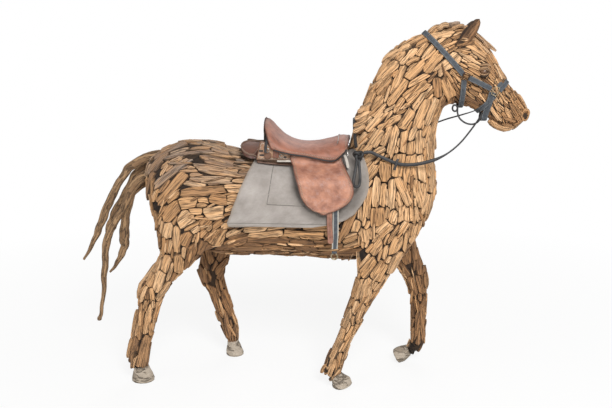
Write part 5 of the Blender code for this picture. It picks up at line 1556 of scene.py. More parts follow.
def flapShadow(point):
    # painted shadow: the cloth is painted dark round and below the flap's lower edge, where the flap's shadow
    # falls
    away = math.hypot((point.x - 0.180) / 0.122, (point.z - 1.050) / 0.115) - 1.0
    worn = 0.28 + 0.47 * eased(-0.20, 0.12, away)
    return worn * (1.0 - eased(0.18, 0.60, away)) * eased(1.16, 1.02, point.z)


def clothRows():
    # from hem to hem: each row's side, its turn from the top, its height below the axis, rear and front
    half = []
    for turn in spread(0.0, 90.0, clothSizes["rows"]):
        half.append((turn, None, valueOn(clothEdges, turn, 0, 1), valueOn(clothEdges, turn, 0, 2)))
    hem = [(drapeAxis, clothEdges[-1][1], clothEdges[-1][2])] + clothHem
    for height in spread(drapeAxis, clothSizes["low"], clothSizes["hemRows"])[1:]:
        half.append((90.0, height, valueOn(hem, height, 0, 1), valueOn(hem, height, 0, 2)))
    return [(-1, *row) for row in reversed(half)] + [(1, *row) for row in half[1:]]


def makeClothSeams(tree, outer):
    # the edge of the sewn-on patch on each side, and a row of stitches along each hem
    seams = []
    for (_, side), line in itertools.product(sides, clothSeamLines):
        points = []
        for at in cordLine([(x, 0.0, z) for x, z in line], 40):
            point = sideOn(tree, at.x, at.z, side)
            lift = side * (clothSizes["proud"] + clothWave(point, side))
            points.append(point + Vector((0.0, lift, 0.0)))
        seams.append(ribbonPiece("seam", points, Vector((0, side, 0.3)), 0.0034, 0.0014, seamThread,
                                 lift=-0.0005))
    for row, side in ((2, -1), (-3, 1)):
        seams.append(ribbonPiece("seam", outer[row], Vector((0, side, 0.1)), 0.0022, 0.0010, seamThread,
                                 lift=-0.0003))
    return settle(joined("clothSeams", seams), "horse", "canvas")


def makeCloth():
    tree = treeOf("saddle_cloth")
    outer, inner = [], []
    for side, turn, height, rear, front in clothRows():
        top, under = [], []
        for x in spread(rear + 0.002, front - 0.002, clothSizes["columns"]):
            point, out = clothPoint(tree, x, turn, height, side)
            wave = max(clothWave(point, side), -0.002)
            top.append(point + out * (clothSizes["proud"] + wave))
            under.append(point + out * (clothSizes["proud"] + wave - clothSizes["thick"]))
        outer.append(top)
        inner.append(under)
    piece = shellPiece("saddleCloth", outer, inner, canvas, 0.6)
    # the flap's painted shadow on the cloth
    markPoints(piece.data, stain=[flapShadow(vert.co) for vert in piece.data.vertices])
    settle(piece, "horse", "canvas", "saddle_cloth")
    area = sum(((b - a).cross(d - a)).length for low, high in zip(outer, outer[1:])
               for a, b, d in zip(low, low[1:], high))
    length = lineLength([row[25] for row in outer])
    width = max(lineLength(row) for row in outer)
    print("cloth", round(width, 3), round(length, 3), "area", round(area, 3))
    seamPiece = makeClothSeams(tree, outer)


makeCloth()


# Saddle: boards, seat, cantle and flaps

seatTopLine = [(-0.143, 1.364), (-0.117, 1.334), (-0.075, 1.292), (-0.025, 1.263), (0.037, 1.248),
               (0.114, 1.253), (0.192, 1.270), (0.236, 1.282), (0.272, 1.278)]
seatLowerEdge = [(-0.141, 1.256), (-0.103, 1.236), (-0.061, 1.222), (-0.008, 1.210), (0.066, 1.200),
                 (0.129, 1.188), (0.192, 1.178), (0.223, 1.186), (0.261, 1.220), (0.272, 1.240)]
seatSizes = {"span": 0.212, "thick": 0.0085, "rows": 44, "shares": 33}
flapRearEdge = [(-0.002, 1.178), (0.013, 1.150), (0.042, 1.080), (0.058, 1.020), (0.083, 0.976),
                (0.115, 0.950), (0.153, 0.936)]
flapFrontEdge = [(0.243, 1.178), (0.260, 1.150), (0.291, 1.100), (0.304, 1.060), (0.303, 1.025),
                 (0.277, 0.985), (0.229, 0.953), (0.181, 0.936)]
cantle = {"top": 1.366, "fall": 0.094, "deep": 0.104, "half": 0.146, "rear": -0.140, "wrap": 0.036,
          "flare": 0.010, "backs": (0.0145, 0.0004)}
boardSizes = {"inner": 13.0, "outer": 36.0, "rear": -0.168, "front": 0.216, "thick": 0.010}
padSizes = {"rear": -0.262, "front": -0.156, "turns": (3.5, 32.0), "radius": 0.311, "thick": 0.022,
            "puff": 0.007, "rounded": 0.060}
skirtSizes = {"rear": -0.172, "front": 0.020, "low": 0.187, "high": 0.199, "thick": 0.005}
flapSizes = {"held": [1.205, 1.190], "top": 1.176, "round": 1.045, "low": 0.9335, "thick": 0.0052}
hanging = {"top": 1.052, "webLow": 0.762, "billetLow": 0.802, "tip": [0.796, 0.788],
           "holes": (0.820, 0.850, 0.880, 0.910)}
seatWrap = 0.046    # how far the seat's rear corners lie ahead of its middle


def seatPoint(x, share, depth):
    ahead = seatWrap * share * share * eased(0.02, seatTopLine[0][0], x)
    top, edge = valueOn(seatTopLine, x), valueOn(seatLowerEdge, x + ahead)
    turn = math.pi / 2 * abs(share)
    y = seatSizes["span"] * math.sin(turn) ** 0.92 * (1 if share > 0 else -1)
    z = edge + (top - edge) * max(math.cos(turn), 0.0) ** 0.9
    inwards = Vector((0.0, -math.sin(math.pi / 2 * share), -math.cos(math.pi / 2 * share)))
    return Vector((x + ahead, y, z)) + depth * inwards


def cantlePoint(share, down, back):
    # the raised back of the seat: share runs across it, down from its rim to the seat
    high = cantle["top"] - cantle["fall"] * abs(share) ** 1.2
    low = high - cantle["deep"] * (1.0 - 0.66 * abs(share))
    x = cantle["rear"] + cantle["wrap"] * share * share
    x += cantle["flare"] * down ** 2 - back * (1.0 + 0.25 * math.sin(math.pi * down))
    return Vector((x, cantle["half"] * math.sin(math.pi / 2 * share), high + (low - high) * down))


def makeSeat():
    xs = spread(seatTopLine[0][0], seatTopLine[-1][0], seatSizes["rows"])
    shares = spread(-1.0, 1.0, seatSizes["shares"])

    def seatPair(x, share):
        grain = 0.0006 + 0.0008 * noise.noise(Vector((x * 12, share * 3, 0)))
        return seatPoint(x, share, -grain), seatPoint(x, share, seatSizes["thick"])

    def cantlePair(share, down):
        return [cantlePoint(share, down, back) for back in cantle["backs"]]

    settleHide(shellPiece("seatLeather", *twoFaces(xs, shares, seatPair), seatLeather, 0.6), "seat")
    faces = twoFaces(spread(-1.0, 1.0, 41), spread(0.0, 1.0, 7), cantlePair)
    settleHide(shellPiece("cantleLeather", *faces, darkLeather, 0.5), "cantle")
    for label, side in sides:
        # the dark welt under the seat's rim, and the dee near the pommel
        line = [seatPoint(x, side, 0.0) + Vector((0.0, side * 0.0015, -0.002))
                for x in spread(-0.128, 0.268, 46)]
        settleHide(tubePiece(label + "Welt", line, 0.0036, reinLeather, 8, Vector((0, side, 0.2))))
        line = [seatPoint(0.218 + 0.007 * math.sin(share * 5.0), side * share, -0.0030)
                for share in spread(0.06, 0.50, 12)]
        settleSteel(tubePiece(label + "Dee", line, 0.0019, steel, 8, Vector((0, side, 0.5))))


def boardPoint(tree, x, turn, side, lift):
    hit, out = drapedOn(tree, x, side * turn)
    return hit + out * lift


def padPoint(x, turn, side, lift):
    a = math.radians(side * turn)
    radius = padSizes["radius"] + lift + 0.22 * max(0.0, -0.20 - x)
    return Vector((x, radius * math.sin(a), drapeAxis + radius * math.cos(a)))


def makePad(label, side):
    # the dark padded end behind the seat; its rim comes back, for the piping
    low, high = padSizes["turns"]
    middle, half = (low + high) / 2, (high - low) / 2

    def padPair(x, place):
        fromEnd = min((x - padSizes["rear"]) / padSizes["rounded"], 1.0)
        share = math.sqrt(max(1.0 - (1.0 - fromEnd) ** 2, 0.03))
        puff = padSizes["puff"] * (1.0 - (0.5 + 0.5 * place) ** 2) * math.sin(math.pi / 2 * fromEnd)
        slant = 0.026 * place * eased(-0.205, -0.156, x)
        return [padPoint(x - slant, middle + half * share * place, side, lift)
                for lift in (puff, -padSizes["thick"] * (0.55 + 0.45 * share))]

    upper, under = twoFaces(spread(padSizes["rear"], padSizes["front"], 21), spread(-1.0, 1.0, 13), padPair)
    settleHide(shellPiece(label + "RearPad", upper, under, darkLeather, 0.5))
    return [row[0] for row in reversed(upper)] + [row[-1] for row in upper]


def skirtPoint(x, share, side, lift=0.0):
    # the tan side panel between the board's edge (0) and the seat's rim (1)
    low = drapeAxis + 0.305 * math.cos(math.radians(boardSizes["outer"]))
    high = valueOn(seatLowerEdge, x) + 0.010
    tuck = 0.016 * eased(-0.030, 0.020, x)
    y = skirtSizes["low"] + (skirtSizes["high"] - skirtSizes["low"]) * share - tuck + lift
    return Vector((x, side * y, low + (high - low) * share))


def onSkirt(x, z, side, lift):
    low, high = skirtPoint(x, 0.0, side), skirtPoint(x, 1.0, side)
    return skirtPoint(x, (z - low.z) / (high.z - low.z), side, lift)


def sideLine(route, side, count):
    # a smooth line through places given for the left side
    return cordLine([(x, side * y, z) for x, y, z in route], count)


def makeBoard(label, side):
    # the bearing board, the tan skirt over it and the pale piping round skirt and pad
    tree = treeOf(label + "_bearing_board")

    def boardPair(x, turn):
        return [boardPoint(tree, x, turn, side, lift) for lift in (0.0008, -boardSizes["thick"])]

    def skirtPair(x, share):
        slanted = x + 0.022 * share * eased(-0.10, -0.172, x)
        return [skirtPoint(slanted, share, side, lift) for lift in (0.0, -skirtSizes["thick"])]

    faces = twoFaces(spread(boardSizes["rear"], boardSizes["front"], 30),
                     spread(boardSizes["inner"], boardSizes["outer"], 9), boardPair)
    settleHide(shellPiece(label + "Board", *faces, tanLeather, 0.5), label + "_bearing_board")
    faces = twoFaces(spread(skirtSizes["rear"], skirtSizes["front"], 24), spread(0.0, 1.0, 9), skirtPair)
    settleHide(shellPiece(label + "Skirt", *faces, tanLeather, 0.5))
    rim = [point + Vector((0, side * 0.0015, 0.002)) for point in makePad(label, side)]
    rim += [skirtPoint(x, 0.0, side, 0.002) for x in spread(-0.150, 0.020, 14)]
    settleHide(tubePiece(label + "Piping", smoothed(rim, 1), 0.0030, pipingLeather, 8,
                         Vector((0, side, 0.6))))


def makeSkirtStraps(label, side):
    # slots and a strap behind the seat, the round patch, the seat's tab and the pale felt
    dark = [boxPiece("slot", onSkirt(x, z, side, 0.0014), (wide, 0.0024, 0.0085), 0.0009, reinLeather)
            for x, z, wide in ((-0.148, 1.220, 0.019), (-0.144, 1.199, 0.024), (-0.030, 1.190, 0.013))]
    line = sideLine([(-0.121, 0.150, 1.292), (-0.120, 0.186, 1.270), (-0.122, 0.206, 1.245),
                     (-0.124, 0.206, 1.214)], side, 14)
    dark.append(ribbonPiece("hangingStrap", line, Vector((-0.3, side, 0.5)), 0.014, 0.0035, reinLeather))
    settleHide(joined(label + "DarkStraps", dark))
    settleHide(discPiece(label + "RoundPatch", onSkirt(-0.116, 1.198, side, 0.0035), (0.0190, 0.0190 * 0.86),
                         0.005, 28, -side * math.pi / 2, tanLeather, 40))
    tab = [onSkirt(x, z, side, 0.0030) for x, z in ((-0.074, 1.224), (-0.074, 1.205), (-0.078, 1.186))]
    settleHide(ribbonPiece(label + "SeatTab", cordLine(tab, 10), Vector((0, side, 0)), 0.028, 0.003,
                           seatLeather, roundEnds=True))
    # the felt shows as a strip under the skirt and as a tab ahead of the flap
    strip = [Vector((x, side * 0.1865, 1.1705)) for x in spread(-0.070, 0.004, 10)]
    tab = sideLine([(0.258, 0.186, 1.204), (0.268, 0.194, 1.182), (0.274, 0.202, 1.160),
                    (0.277, 0.208, 1.142)], side, 12)
    pale = [ribbonPiece("felt", strip, Vector((0, side, 0.3)), 0.010, 0.004, felt),
            ribbonPiece("felt", tab, Vector((0, side, 0.4)), 0.013, 0.003, felt, roundEnds=True)]
    settle(joined(label + "FeltEdges", pale), "saddle", "canvas")


def makeSkirtSteel(label, side):
    for name, at, wide in (("Buckle", onSkirt(-0.118, 1.224, side, 0.011), 0.011),
                           ("FrontBuckle", onSkirt(-0.047, 1.197, side, 0.004), 0.0095)):
        points = ovalLine(at, wide, wide * 0.95, 21)
        settleSteel(tubePiece(label + name, points, 0.0020, steel, 8, Vector((0, side, 0))))
    points = sideLine([(0.258, 0.150, 1.232), (0.268, 0.172, 1.226), (0.274, 0.182, 1.208),
                       (0.270, 0.186, 1.190), (0.258, 0.184, 1.184)], side, 18)
    settleSteel(tubePiece(label + "Staple", points, 0.0026, steel, 8, Vector((0, side, 0.2))))


def flapPair(tree, side, height, share):
    # the CAD flap's own surface, read a little inside its edges, with a curl towards the lower edge
    rear, front = valueOn(flapRearEdge, height, 1, 0), valueOn(flapFrontEdge, height, 1, 0)
    x = rear + (front - rear) * share
    inside = min(max(x, rear + 0.026), front - 0.014)
    y = sideOn(tree, inside, min(max(height, 0.9360), 1.170), side).y
    curl = 0.004 * eased(0.99, 0.935, height) * math.sin(math.pi * share) + 0.0004
    wave = 0.0016 * noise.noise(Vector((x * 9.0, height * 7.0, side)))
    return [Vector((x, y, height)) + Vector((0.0, side * (curl + wave - deep), 0.0))
            for deep in (0.0, flapSizes["thick"])]


def makeFlaps():
    # even rows down to where the edge begins to round, then closer ones
    high, low = flapSizes["round"], flapSizes["low"]
    heights = flapSizes["held"] + spread(flapSizes["top"], high, 12)
    heights += [high - (high - low) * math.sin(math.pi / 2 * k / 12) for k in range(1, 13)]
    for label, side in sides:
        tree = treeOf("saddle_flap_" + label)
        faces = twoFaces(heights, spread(0.0, 1.0, 25),
                         lambda height, share: flapPair(tree, side, height, share))
        piece = shellPiece("flap" + label.title(), *faces, flapLeather, 0.6)
        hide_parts("saddle_flap_" + label)
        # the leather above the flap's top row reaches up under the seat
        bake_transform(piece)


def makeHangingStraps():
    for label, side in sides:
        body, end = "strap_" + label, label.title()
        out = Vector((0.0, side, 0.0))
        heights = spread(hanging["top"], hanging["webLow"], 22)
        web = ribbonPiece("web" + end,
                          [Vector((0.223 - 0.004 * eased(0.85, 0.75, z), side * 0.2955, z)) for z in heights],
                          [out + Vector((0.35 * eased(0.90, 0.78, z), 0, 0)) for z in heights],
                          0.0285, 0.003, strapWebbing)
        roll = tubePiece("roll", [Vector((x, side * 0.302, 0.7455)) for x in spread(0.2065, 0.2305, 4)],
                         0.0062, strapWebbing, 12, out)
        corners = len(roll.data.vertices)
        markPoints(roll.data, fromEdge=[0.010] * corners, alongEdge=[0.0] * corners)
        settle(joined("webStrap" + end, [web, roll]), body, "webbing", "web_strap_" + label)
        line = [Vector((0.194 + 0.005 * eased(0.90, 0.80, z), side * 0.2995, z))
                for z in spread(hanging["top"], hanging["billetLow"], 20) + hanging["tip"]]
        billet = ribbonPiece("billet" + end, line, out, 0.027, 0.0036, flapLeather, roundEnds=True)
        holes = [discPiece("hole", (0.197, side * 0.3034, z), (0.0018, 0.0018), 0.001, 12, math.pi / 2,
                           reinLeather) for z in hanging["holes"]]
        settle(billet, body, "saddle_leather", "leather_billet_" + label)
        settle(joined("billetHoles" + end, holes), body, "saddle_leather")
        points = ovalLine(Vector((0.2185, side * 0.3017, 0.7268)), 0.0150, 0.0155, 33)
        ring = tubePiece("hangingRing" + end, points, 0.0040, brass, 10, out)
        settle(ring, "ring_" + label, "bright_steel", "strap_ring_" + label)


makeSeat()
for label, side in sides:
    makeBoard(label, side)
    makeSkirtStraps(label, side)
    makeSkirtSteel(label, side)
makeFlaps()
makeHangingStraps()
print("saddle made")


# Ears, eyes and muzzle

ear = {"base": Vector((0.792, -0.092, 1.720)), "tip": Vector((0.890, -0.066, 1.846)), "width": 0.055,
       "cup": 0.019, "thick": 0.006}
eyeAt = Vector((0.919, -0.104, 1.600))


def mirrored(points, side):
    return [Vector((p.x, -side * p.y, p.z)) for p in points]


def makeEars():
    for label, side in sides:
        axis = ear["tip"] - ear["base"]
        across = Vector((axis.z, 0.0, -axis.x)).normalized()
        deep = axis.cross(across).normalized()
        deep = deep if deep.y > 0 else -deep

        def earPair(s, u):
            # s runs from the root to the tip, u across the cup
            full = ear["width"] * (0.42 + 0.58 * eased(0.0, 0.45, s))
            width = full * max(1.0 - s ** 3.4, 0.0) ** 0.55 + 0.002
            lean = -0.004 * math.sin(math.pi * s)
            cup = ear["cup"] * (1.0 - u * u) * math.sin(math.pi * min(s + 0.12, 0.95)) ** 0.7
            point = ear["base"] + axis * s + across * (u * width / 2 - lean) + deep * cup
            return mirrored([point, point + deep * ear["thick"] * (1.0 - 0.5 * s)], side)

        faces = twoFaces(spread(0.0, 1.0, 18), spread(-1.0, 1.0, 13), earPair)
        settleWood(shellPiece(label + "Ear", *faces, earWood, 0.6), label + "_ear")


def eyeArc(centre, wide, high, low, top, bulge, side):
    # part of an ellipse round the eye, in degrees, bending back towards the head at its ends
    points = []
    for degrees in spread(low, top, 15):
        a = math.radians(degrees)
        away = Vector((wide * math.cos(a), bulge * abs(math.cos(a)) ** 2, high * math.sin(a)))
        points.append(centre + away)
    return mirrored(points, side)


def swelled(radius, ends):
    # the radii along an arc, smaller at its ends by the share given
    return [radius * (ends + (1.0 - ends) * math.sin(math.pi * share)) for share in spread(0.0, 1.0, 15)]


def makeEyes():
    for label, side in sides:
        centre = Vector((eyeAt.x, -side * (eyeAt.y + 0.002), eyeAt.z))
        ball = ballPiece(label + "EyeBall", centre, (0.0195, 0.011, 0.0115), (24, 16), eyeGloss)
        settleWood(ball, label + "_eye")
        lids = []
        for wide, high, low, top, radius, bulge in ((0.0245, 0.0160, 2, 180, 0.0098, 0.012),
                                                    (0.0230, 0.0150, 195, 345, 0.0044, 0.010),
                                                    (0.0400, 0.0340, 40, 125, 0.0062, 0.014)):
            points = eyeArc(eyeAt + Vector((0.0, -0.003, 0.0)), wide, high, low, top, bulge, side)
            lid = tubePiece("lid", points, swelled(radius, 0.45), driftwood, 8, Vector((0, side, 0.1)),
                            bumps=0.08)
            lids.append(asWood(lid, 0.38, 0.3))
        settleWood(joined(label + "EyeLids", lids))
        # painted shade: a near-black crescent under the lower lid, where shade falls under the eye
        points = eyeArc(eyeAt, 0.0225, 0.0225, 195, 350, 0.006, side)
        settleWood(tubePiece(label + "EyeHollow", points, swelled(0.0060, 0.35), shadeCoreWood, 8,
                             Vector((0, side, 0.1))))


def asWood(piece, tone, grey=0.0):
    # a listed piece takes the chips' own wood
    count = len(piece.data.vertices)
    markPoints(piece.data, chipTop=[1.0] * count, chipTone=[tone] * count, chipGrey=[grey] * count)
    markVectors(piece.data, chipSize=[(1, 1, 1)] * count)
    return piece


def stick(points, width, thick, tone, grey, bodyTree):
    # a listed splinter with broken ends; a point without a y lies on the horse's near side
    places = []
    for x, y, z in points:
        if y is None:
            hit = bodyTree.ray_cast(Vector((x, -0.8, z)), Vector((0, 1, 0)), 0.8)[0]
            y = hit.y - 0.006 if hit is not None else places[-1][1]
        places.append((x, y, z))
    line = cordLine(places, 7)
    radii = [width / 2 * share for share in (0.65, 0.95, 1.0, 0.92, 1.0, 0.9, 0.5)]
    piece = tubePiece("stick", line, radii, driftwood, 6, Vector((0, -1, 0.25)), thick / width, 0.16)
    return asWood(piece, tone, grey)


muzzle = {"centre": (1.045, 1.420), "from": 50, "to": -112, "half": 0.052, "slips": 9, "proud": 0.003,
          "lip": 0.009, "nostril": (1.134, 1.388)}

# Loose ends that break the outline: where each runs, its width and thickness, tone and greyness
looseEnds = [
    ([(0.862, -0.036, 1.795), (0.905, -0.034, 1.760), (0.944, -0.032, 1.728), (0.981, -0.030, 1.698)],
     0.020, 0.009, 0.6, 0.5),
    ([(0.868, -0.052, 1.752), (0.905, -0.054, 1.722), (0.950, -0.050, 1.686)], 0.018, 0.009, 0.8, 0.2),
    ([(0.846, -0.072, 1.738), (0.882, -0.074, 1.706), (0.916, -0.070, 1.664)], 0.018, 0.008, 0.5, 0.0),
    ([(0.872, 0.022, 1.780), (0.925, 0.020, 1.736), (0.958, 0.018, 1.704)], 0.022, 0.010, 0.4, 0.4),
    ([(0.945, -0.008, 1.706), (0.974, -0.006, 1.664), (1.000, -0.004, 1.620)], 0.022, 0.008, 0.7, 0.0),
    ([(0.988, 0.000, 1.640), (1.018, 0.002, 1.594), (1.044, 0.002, 1.560)], 0.020, 0.008, 0.5, 0.2),
    ([(0.655, -0.030, 1.782), (0.684, -0.028, 1.806), (0.712, -0.024, 1.816)], 0.034, 0.018, 0.6, 0.1),
    ([(0.700, -0.040, 1.800), (0.722, -0.036, 1.822), (0.752, -0.030, 1.820)], 0.030, 0.018, 0.8, 0.2),
    ([(0.734, -0.016, 1.822), (0.772, -0.014, 1.829), (0.806, -0.012, 1.834)], 0.020, 0.016, 0.7, 1.0),
    ([(0.762, -0.044, 1.798), (0.790, -0.044, 1.815), (0.822, -0.040, 1.820)], 0.020, 0.014, 0.5, 0.3),
    ([(0.800, -0.020, 1.806), (0.826, -0.020, 1.812), (0.850, -0.022, 1.806)], 0.022, 0.014, 0.7, 0.3),
    ([(0.690, 0.030, 1.802), (0.735, 0.034, 1.820), (0.790, 0.030, 1.818)], 0.034, 0.016, 0.5, 0.6),
    ([(0.378, -0.080, 1.402), (0.342, -0.080, 1.382), (0.306, -0.072, 1.368)], 0.030, 0.012, 0.9, 0.0),
    ([(0.366, -0.112, 1.370), (0.332, -0.114, 1.350), (0.298, -0.108, 1.336)], 0.028, 0.012, 0.6, 0.1),
    ([(0.356, -0.134, 1.342), (0.326, -0.140, 1.324), (0.298, -0.138, 1.310)], 0.026, 0.012, 0.8, 0.0),
    ([(0.972, -0.034, 1.362), (1.000, -0.036, 1.340), (1.040, -0.036, 1.325), (1.082, -0.032, 1.334)],
     0.028, 0.020, 0.5, 0.1),
    ([(0.964, -0.012, 1.362), (0.996, -0.012, 1.338), (1.040, -0.012, 1.322), (1.086, -0.010, 1.332)],
     0.028, 0.022, 0.7, 0.0),
    ([(0.968, 0.014, 1.362), (1.000, 0.014, 1.340), (1.040, 0.014, 1.325), (1.080, 0.012, 1.334)],
     0.028, 0.022, 0.4, 0.1),
    ([(0.384, None, 1.448), (0.350, None, 1.420), (0.318, None, 1.398)], 0.026, 0.010, 0.7, 0.2),
    ([(0.404, None, 1.500), (0.374, None, 1.474), (0.348, None, 1.446)], 0.024, 0.009, 0.5, 0.1),
    ([(0.436, None, 1.560), (0.404, None, 1.536), (0.378, None, 1.516)], 0.024, 0.009, 0.8, 0.0),
    ([(0.150, -0.186, 0.072), (0.158, -0.192, 0.098), (0.176, -0.196, 0.124)], 0.020, 0.009, 0.6, 0.0),
    ([(0.168, -0.172, 0.058), (0.180, -0.186, 0.086), (0.196, -0.196, 0.112)], 0.018, 0.009, 0.4, 0.1),
    ([(-0.696, -0.160, 0.632), (-0.732, -0.166, 0.580), (-0.782, -0.170, 0.512), (-0.804, -0.172, 0.440)],
     0.034, 0.014, 0.8, 0.1),
    ([(-0.812, -0.170, 0.380), (-0.830, -0.174, 0.300), (-0.846, -0.178, 0.215)], 0.024, 0.012, 0.6, 0.1),
    ([(-0.846, -0.176, 0.226), (-0.862, -0.184, 0.165), (-0.872, -0.190, 0.118)], 0.022, 0.010, 0.5, 0.1),
]


def slipsRound(centre, low, high, y, radius):
    # one bent slip on the head's own surface, through the turns given, prouder under the lip
    points = []
    for degrees in spread(low, high, 14):
        out = Vector((math.cos(math.radians(degrees)), 0.0, math.sin(math.radians(degrees))))
        start = Vector((centre[0], y, centre[1]))
        across = 1.0 - (y / muzzle["half"]) ** 2
        proud = -0.004 + (muzzle["proud"] + muzzle["lip"] * eased(-45, -80, degrees)) * across
        points.append(hitFrom(headTree, start + out * 0.3, -out, start + out * 0.09) + out * proud)
    radii = [radius * (0.55 + 0.45 * math.sin(math.pi * (k + 1) / 15)) for k in range(14)]
    return tubePiece("slip", smoothed(points, 3), radii, driftwood, 8, Vector((0.7, 0, 0.2)), 0.8, 0.12)


def makeMuzzle():
    # slips of wood bent over the nose and under the lip, and the nostrils' rims
    rng = random.Random(4)
    pieces = []
    for count, y in enumerate(spread(-muzzle["half"], muzzle["half"], muzzle["slips"])):
        split = -28 + 14 * (count % 3)
        upper = (muzzle["from"] - 9 * (count % 2), split + 4)
        lower = (split - 2, muzzle["to"] + 8 * (count % 2))
        for low, high in (upper, lower):
            pieces.append(asWood(slipsRound(muzzle["centre"], low, high, y, 0.0095), rng.random()))
    settleWood(joined("muzzleSlips", pieces))
    bodyTree = treeOf("chest", "neck_lower", "neck_upper", "head")
    settleWood(joined("looseEnds", [stick(*row, bodyTree) for row in looseEnds]))
    rims = []
    for label, side in sides:
        x, z = muzzle["nostril"]
        centre = Vector((x, sideOn(headTree, x - 0.006, z, -1).y - 0.002, z))
        points, radii = [], []
        for a in spread(0.0, math.tau, 25):
            lobe = 0.006 * max(math.sin(a), 0.0)
            points.append(centre + Vector((0.0165 * math.cos(a) + lobe, 0.012 * max(math.cos(a), -0.3),
                                           0.0255 * math.sin(a) + 0.003)))
            radii.append(0.0048 + 0.0030 * max(math.sin(a + 0.9), 0.0))
        rim = tubePiece("rim", mirrored(points, side), radii, driftwood, 8, Vector((0.6, side, 0)),
                        bumps=0.16)
        rims.append(asWood(rim, 0.22))
        # painted shade: a near-black ball inside each rim stands for the shade deep in the nostril
        hollowShade = mirrored([centre + Vector((-0.002, 0.0, -0.003))], side)[0]
        settleWood(ballPiece(label + "Nostril", hollowShade, (0.0120, 0.0045, 0.0180), (16, 10), shadeCoreWood))
    settleWood(joined("nostrilRims", rims))


# Tail of roots and the hooves

tailRoots = {
    "tail_root_upper": [
        (-0.645, -0.010, 1.168, 0.028), (-0.757, -0.012, 1.162, 0.027), (-0.866, -0.015, 1.106, 0.023),
        (-0.927, -0.020, 1.030, 0.019), (-0.975, -0.024, 0.942, 0.021), (-1.036, -0.030, 0.812, 0.021),
        (-1.075, -0.034, 0.715, 0.014), (-1.141, -0.040, 0.606, 0.006)],
    "tail_root_middle": [
        (-0.665, 0.046, 1.130, 0.022), (-0.775, 0.046, 1.120, 0.022), (-0.863, 0.040, 1.062, 0.019),
        (-0.907, 0.034, 0.978, 0.017), (-0.967, 0.030, 0.884, 0.016), (-1.011, 0.026, 0.800, 0.013),
        (-1.033, 0.024, 0.742, 0.007)],
    "tail_root_long": [
        (-0.685, -0.030, 1.080, 0.030), (-0.785, -0.034, 1.062, 0.028), (-0.857, -0.050, 0.992, 0.023),
        (-0.897, -0.070, 0.895, 0.019), (-0.966, -0.074, 0.790, 0.020), (-1.000, -0.076, 0.690, 0.020),
        (-1.012, -0.078, 0.560, 0.016), (-1.025, -0.080, 0.430, 0.011), (-1.047, -0.082, 0.318, 0.010),
        (-1.054, -0.082, 0.284, 0.012)],
    "tail_root_short": [
        (-0.685, 0.034, 1.028, 0.020), (-0.783, 0.030, 1.026, 0.019), (-0.862, 0.002, 0.966, 0.018),
        (-0.899, -0.014, 0.860, 0.020), (-0.915, -0.022, 0.750, 0.026), (-0.919, -0.026, 0.680, 0.022),
        (-0.951, -0.030, 0.600, 0.013), (-1.001, -0.036, 0.538, 0.006)],
}


def makeTail():
    rng = random.Random(9)
    for node, rows in tailRoots.items():
        count = len(rows) * 7
        values = [splineValue(rows, (len(rows) - 1) * k / (count - 1)) for k in range(count)]
        points = [Vector(value[:3]) for value in values]
        for k, point in enumerate(points):
            bend = 0.006 * noise.noise(Vector((k * 0.22, len(rows), 0)))
            point += Vector((bend, 0.7 * bend, 0.0))
        radii = [value[3] * (1.0 + 0.16 * noise.noise(Vector((k * 0.31, 4.0, len(rows))))) for k, value
                 in enumerate(values)]
        strands = [tubePiece("strand", points, radii, rootWood, 14, Vector((0, -1, 0.2)), 0.9, 0.13)]
        for number in range(2):
            start = rng.randint(4, count // 3)
            end = rng.randint(count // 2, count - 6)
            turn = rng.uniform(0.0, math.tau)
            twisted = []
            for k in range(start, end):
                a = turn + (k - start) * 0.09
                reach = radii[k] * 0.86
                twisted.append(points[k] + Vector((math.cos(a) * reach * 0.8, -abs(math.sin(a)) * reach,
                                                   math.cos(a) * reach * 0.5)))
            last = len(twisted) + 1
            thin = [0.0075 * math.sin(math.pi * k / last) ** 0.5 for k in range(1, last)]
            strands.append(tubePiece("strand", twisted, thin, rootWood, 8, Vector((0, -1, 0.2)), 1.0, 0.15))
        settleWood(joined(node.replace("tail_root_", "tailRoot"), strands), node)


def makeHooves():
    for side, _ in sides:
        for end in ("hind", "fore"):
            node = f"{side}_{end}_hoof"
            low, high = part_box(node)
            bm = nodeMesh(node)
            bmesh.ops.subdivide_edges(bm, edges=list(bm.edges), cuts=3, use_grid_fill=True)
            bmesh.ops.smooth_vert(bm, verts=[v for v in bm.verts if v.co.z > low.z + 0.004], factor=0.5,
                                  use_axis_x=True, use_axis_y=True, use_axis_z=True)
            bm.normal_update()
            for vert in bm.verts:
                if vert.co.z > low.z + 0.004:
                    vert.co += vert.normal * (0.0025 + 0.0028 * noise.noise(vert.co * 42.0))
                    vert.co.z = max(vert.co.z, low.z)
            uv = bm.loops.layers.uv.new("UVMap")
            for face in bm.faces:
                for loop in face.loops:
                    loop[uv].uv = (loop.vert.co.x + loop.vert.co.y, loop.vert.co.z)
            settle(pieceFrom(side + end.title() + "Hoof", bm, hoofWood, 50), "horse", "pale_wood", node)


makeEars()
makeEyes()
makeMuzzle()
makeTail()
makeHooves()
# the arches, hangers and frame take the near-black iron: partly their own colour, partly painted shade for the
# dark under the seat
for name in ("pommel_arch", "cantle_arch", "strap_hanger_right", "strap_hanger_left", "steel_frame"):
    node = frame["nodes"][name]
    node.data.materials.clear()
    node.data.materials.append(iron)
print("head, tail and hooves made")


# Floor and light

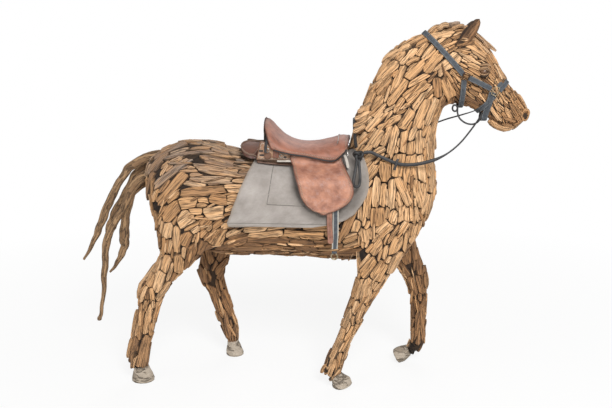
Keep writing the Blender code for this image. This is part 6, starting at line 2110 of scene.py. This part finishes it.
def makeStudio():
    bm = bmesh.new()
    bmesh.ops.create_grid(bm, x_segments=1, y_segments=1, size=30.0)
    paint = Paint("paleFloor", roughness=0.9)
    seen = paint.tree.nodes.new("ShaderNodeLightPath")
    glow = paint.tree.nodes.new("ShaderNodeEmission")
    mix = paint.tree.nodes.new("ShaderNodeMixShader")
    paint.shader.inputs["Base Color"].default_value = (0.80, 0.80, 0.79, 1)
    glow.inputs["Color"].default_value = (1, 1, 1, 1)
    apart = paint.tree.nodes.new("ShaderNodeVectorMath")
    apart.operation = "LENGTH"
    paint.tree.links.new(paint.place, apart.inputs[0])
    far = Value(paint.tree, apart.outputs["Value"]).within(1.2, 4.0)
    share = Value(paint.tree, seen.outputs["Is Camera Ray"]) * (far * 0.16 + 0.84)
    paint.tree.links.new(share.socket, mix.inputs[0])
    paint.tree.links.new(paint.shader.outputs[0], mix.inputs[1])
    paint.tree.links.new(glow.outputs[0], mix.inputs[2])
    paint.tree.links.new(mix.outputs[0], paint.tree.nodes["Material Output"].inputs[0])
    pieceFrom("floor", bm, paint.material)
    lamps = {"key": {"at": (1.6, -4.4, 4.2), "size": 2.0, "power": 320},
             "fill": {"at": (-4.0, -3.2, 2.6), "size": 3.5, "power": 50},
             "back": {"at": (0.5, 4.5, 4.0), "size": 3.5, "power": 70}}
    for name, lamp in lamps.items():
        light = bpy.data.lights.new(name, "AREA")
        light.size = lamp["size"]
        light.energy = lamp["power"]
        obj = linked(bpy.data.objects.new(name, light))
        obj.location = lamp["at"]
        obj.rotation_euler = (Vector(lamp["at"]) - Vector((0, 0, 0.9))).to_track_quat("Z", "Y").to_euler()
    world = bpy.data.worlds.new("studio")
    bpy.context.scene.world = world
    world.use_nodes = True
    back = world.node_tree.nodes["Background"]
    seen = world.node_tree.nodes.new("ShaderNodeLightPath")
    level = Value(world.node_tree, seen.outputs["Is Camera Ray"]) * 0.58 + 0.42
    back.inputs["Color"].default_value = (1, 1, 1, 1)
    world.node_tree.links.new(level.socket, back.inputs["Strength"])


makeStudio()
for obj in list(shelf.objects):
    remove(obj)
bpy.data.collections.remove(shelf)
bpy.context.scene.view_settings.view_transform = "Standard"
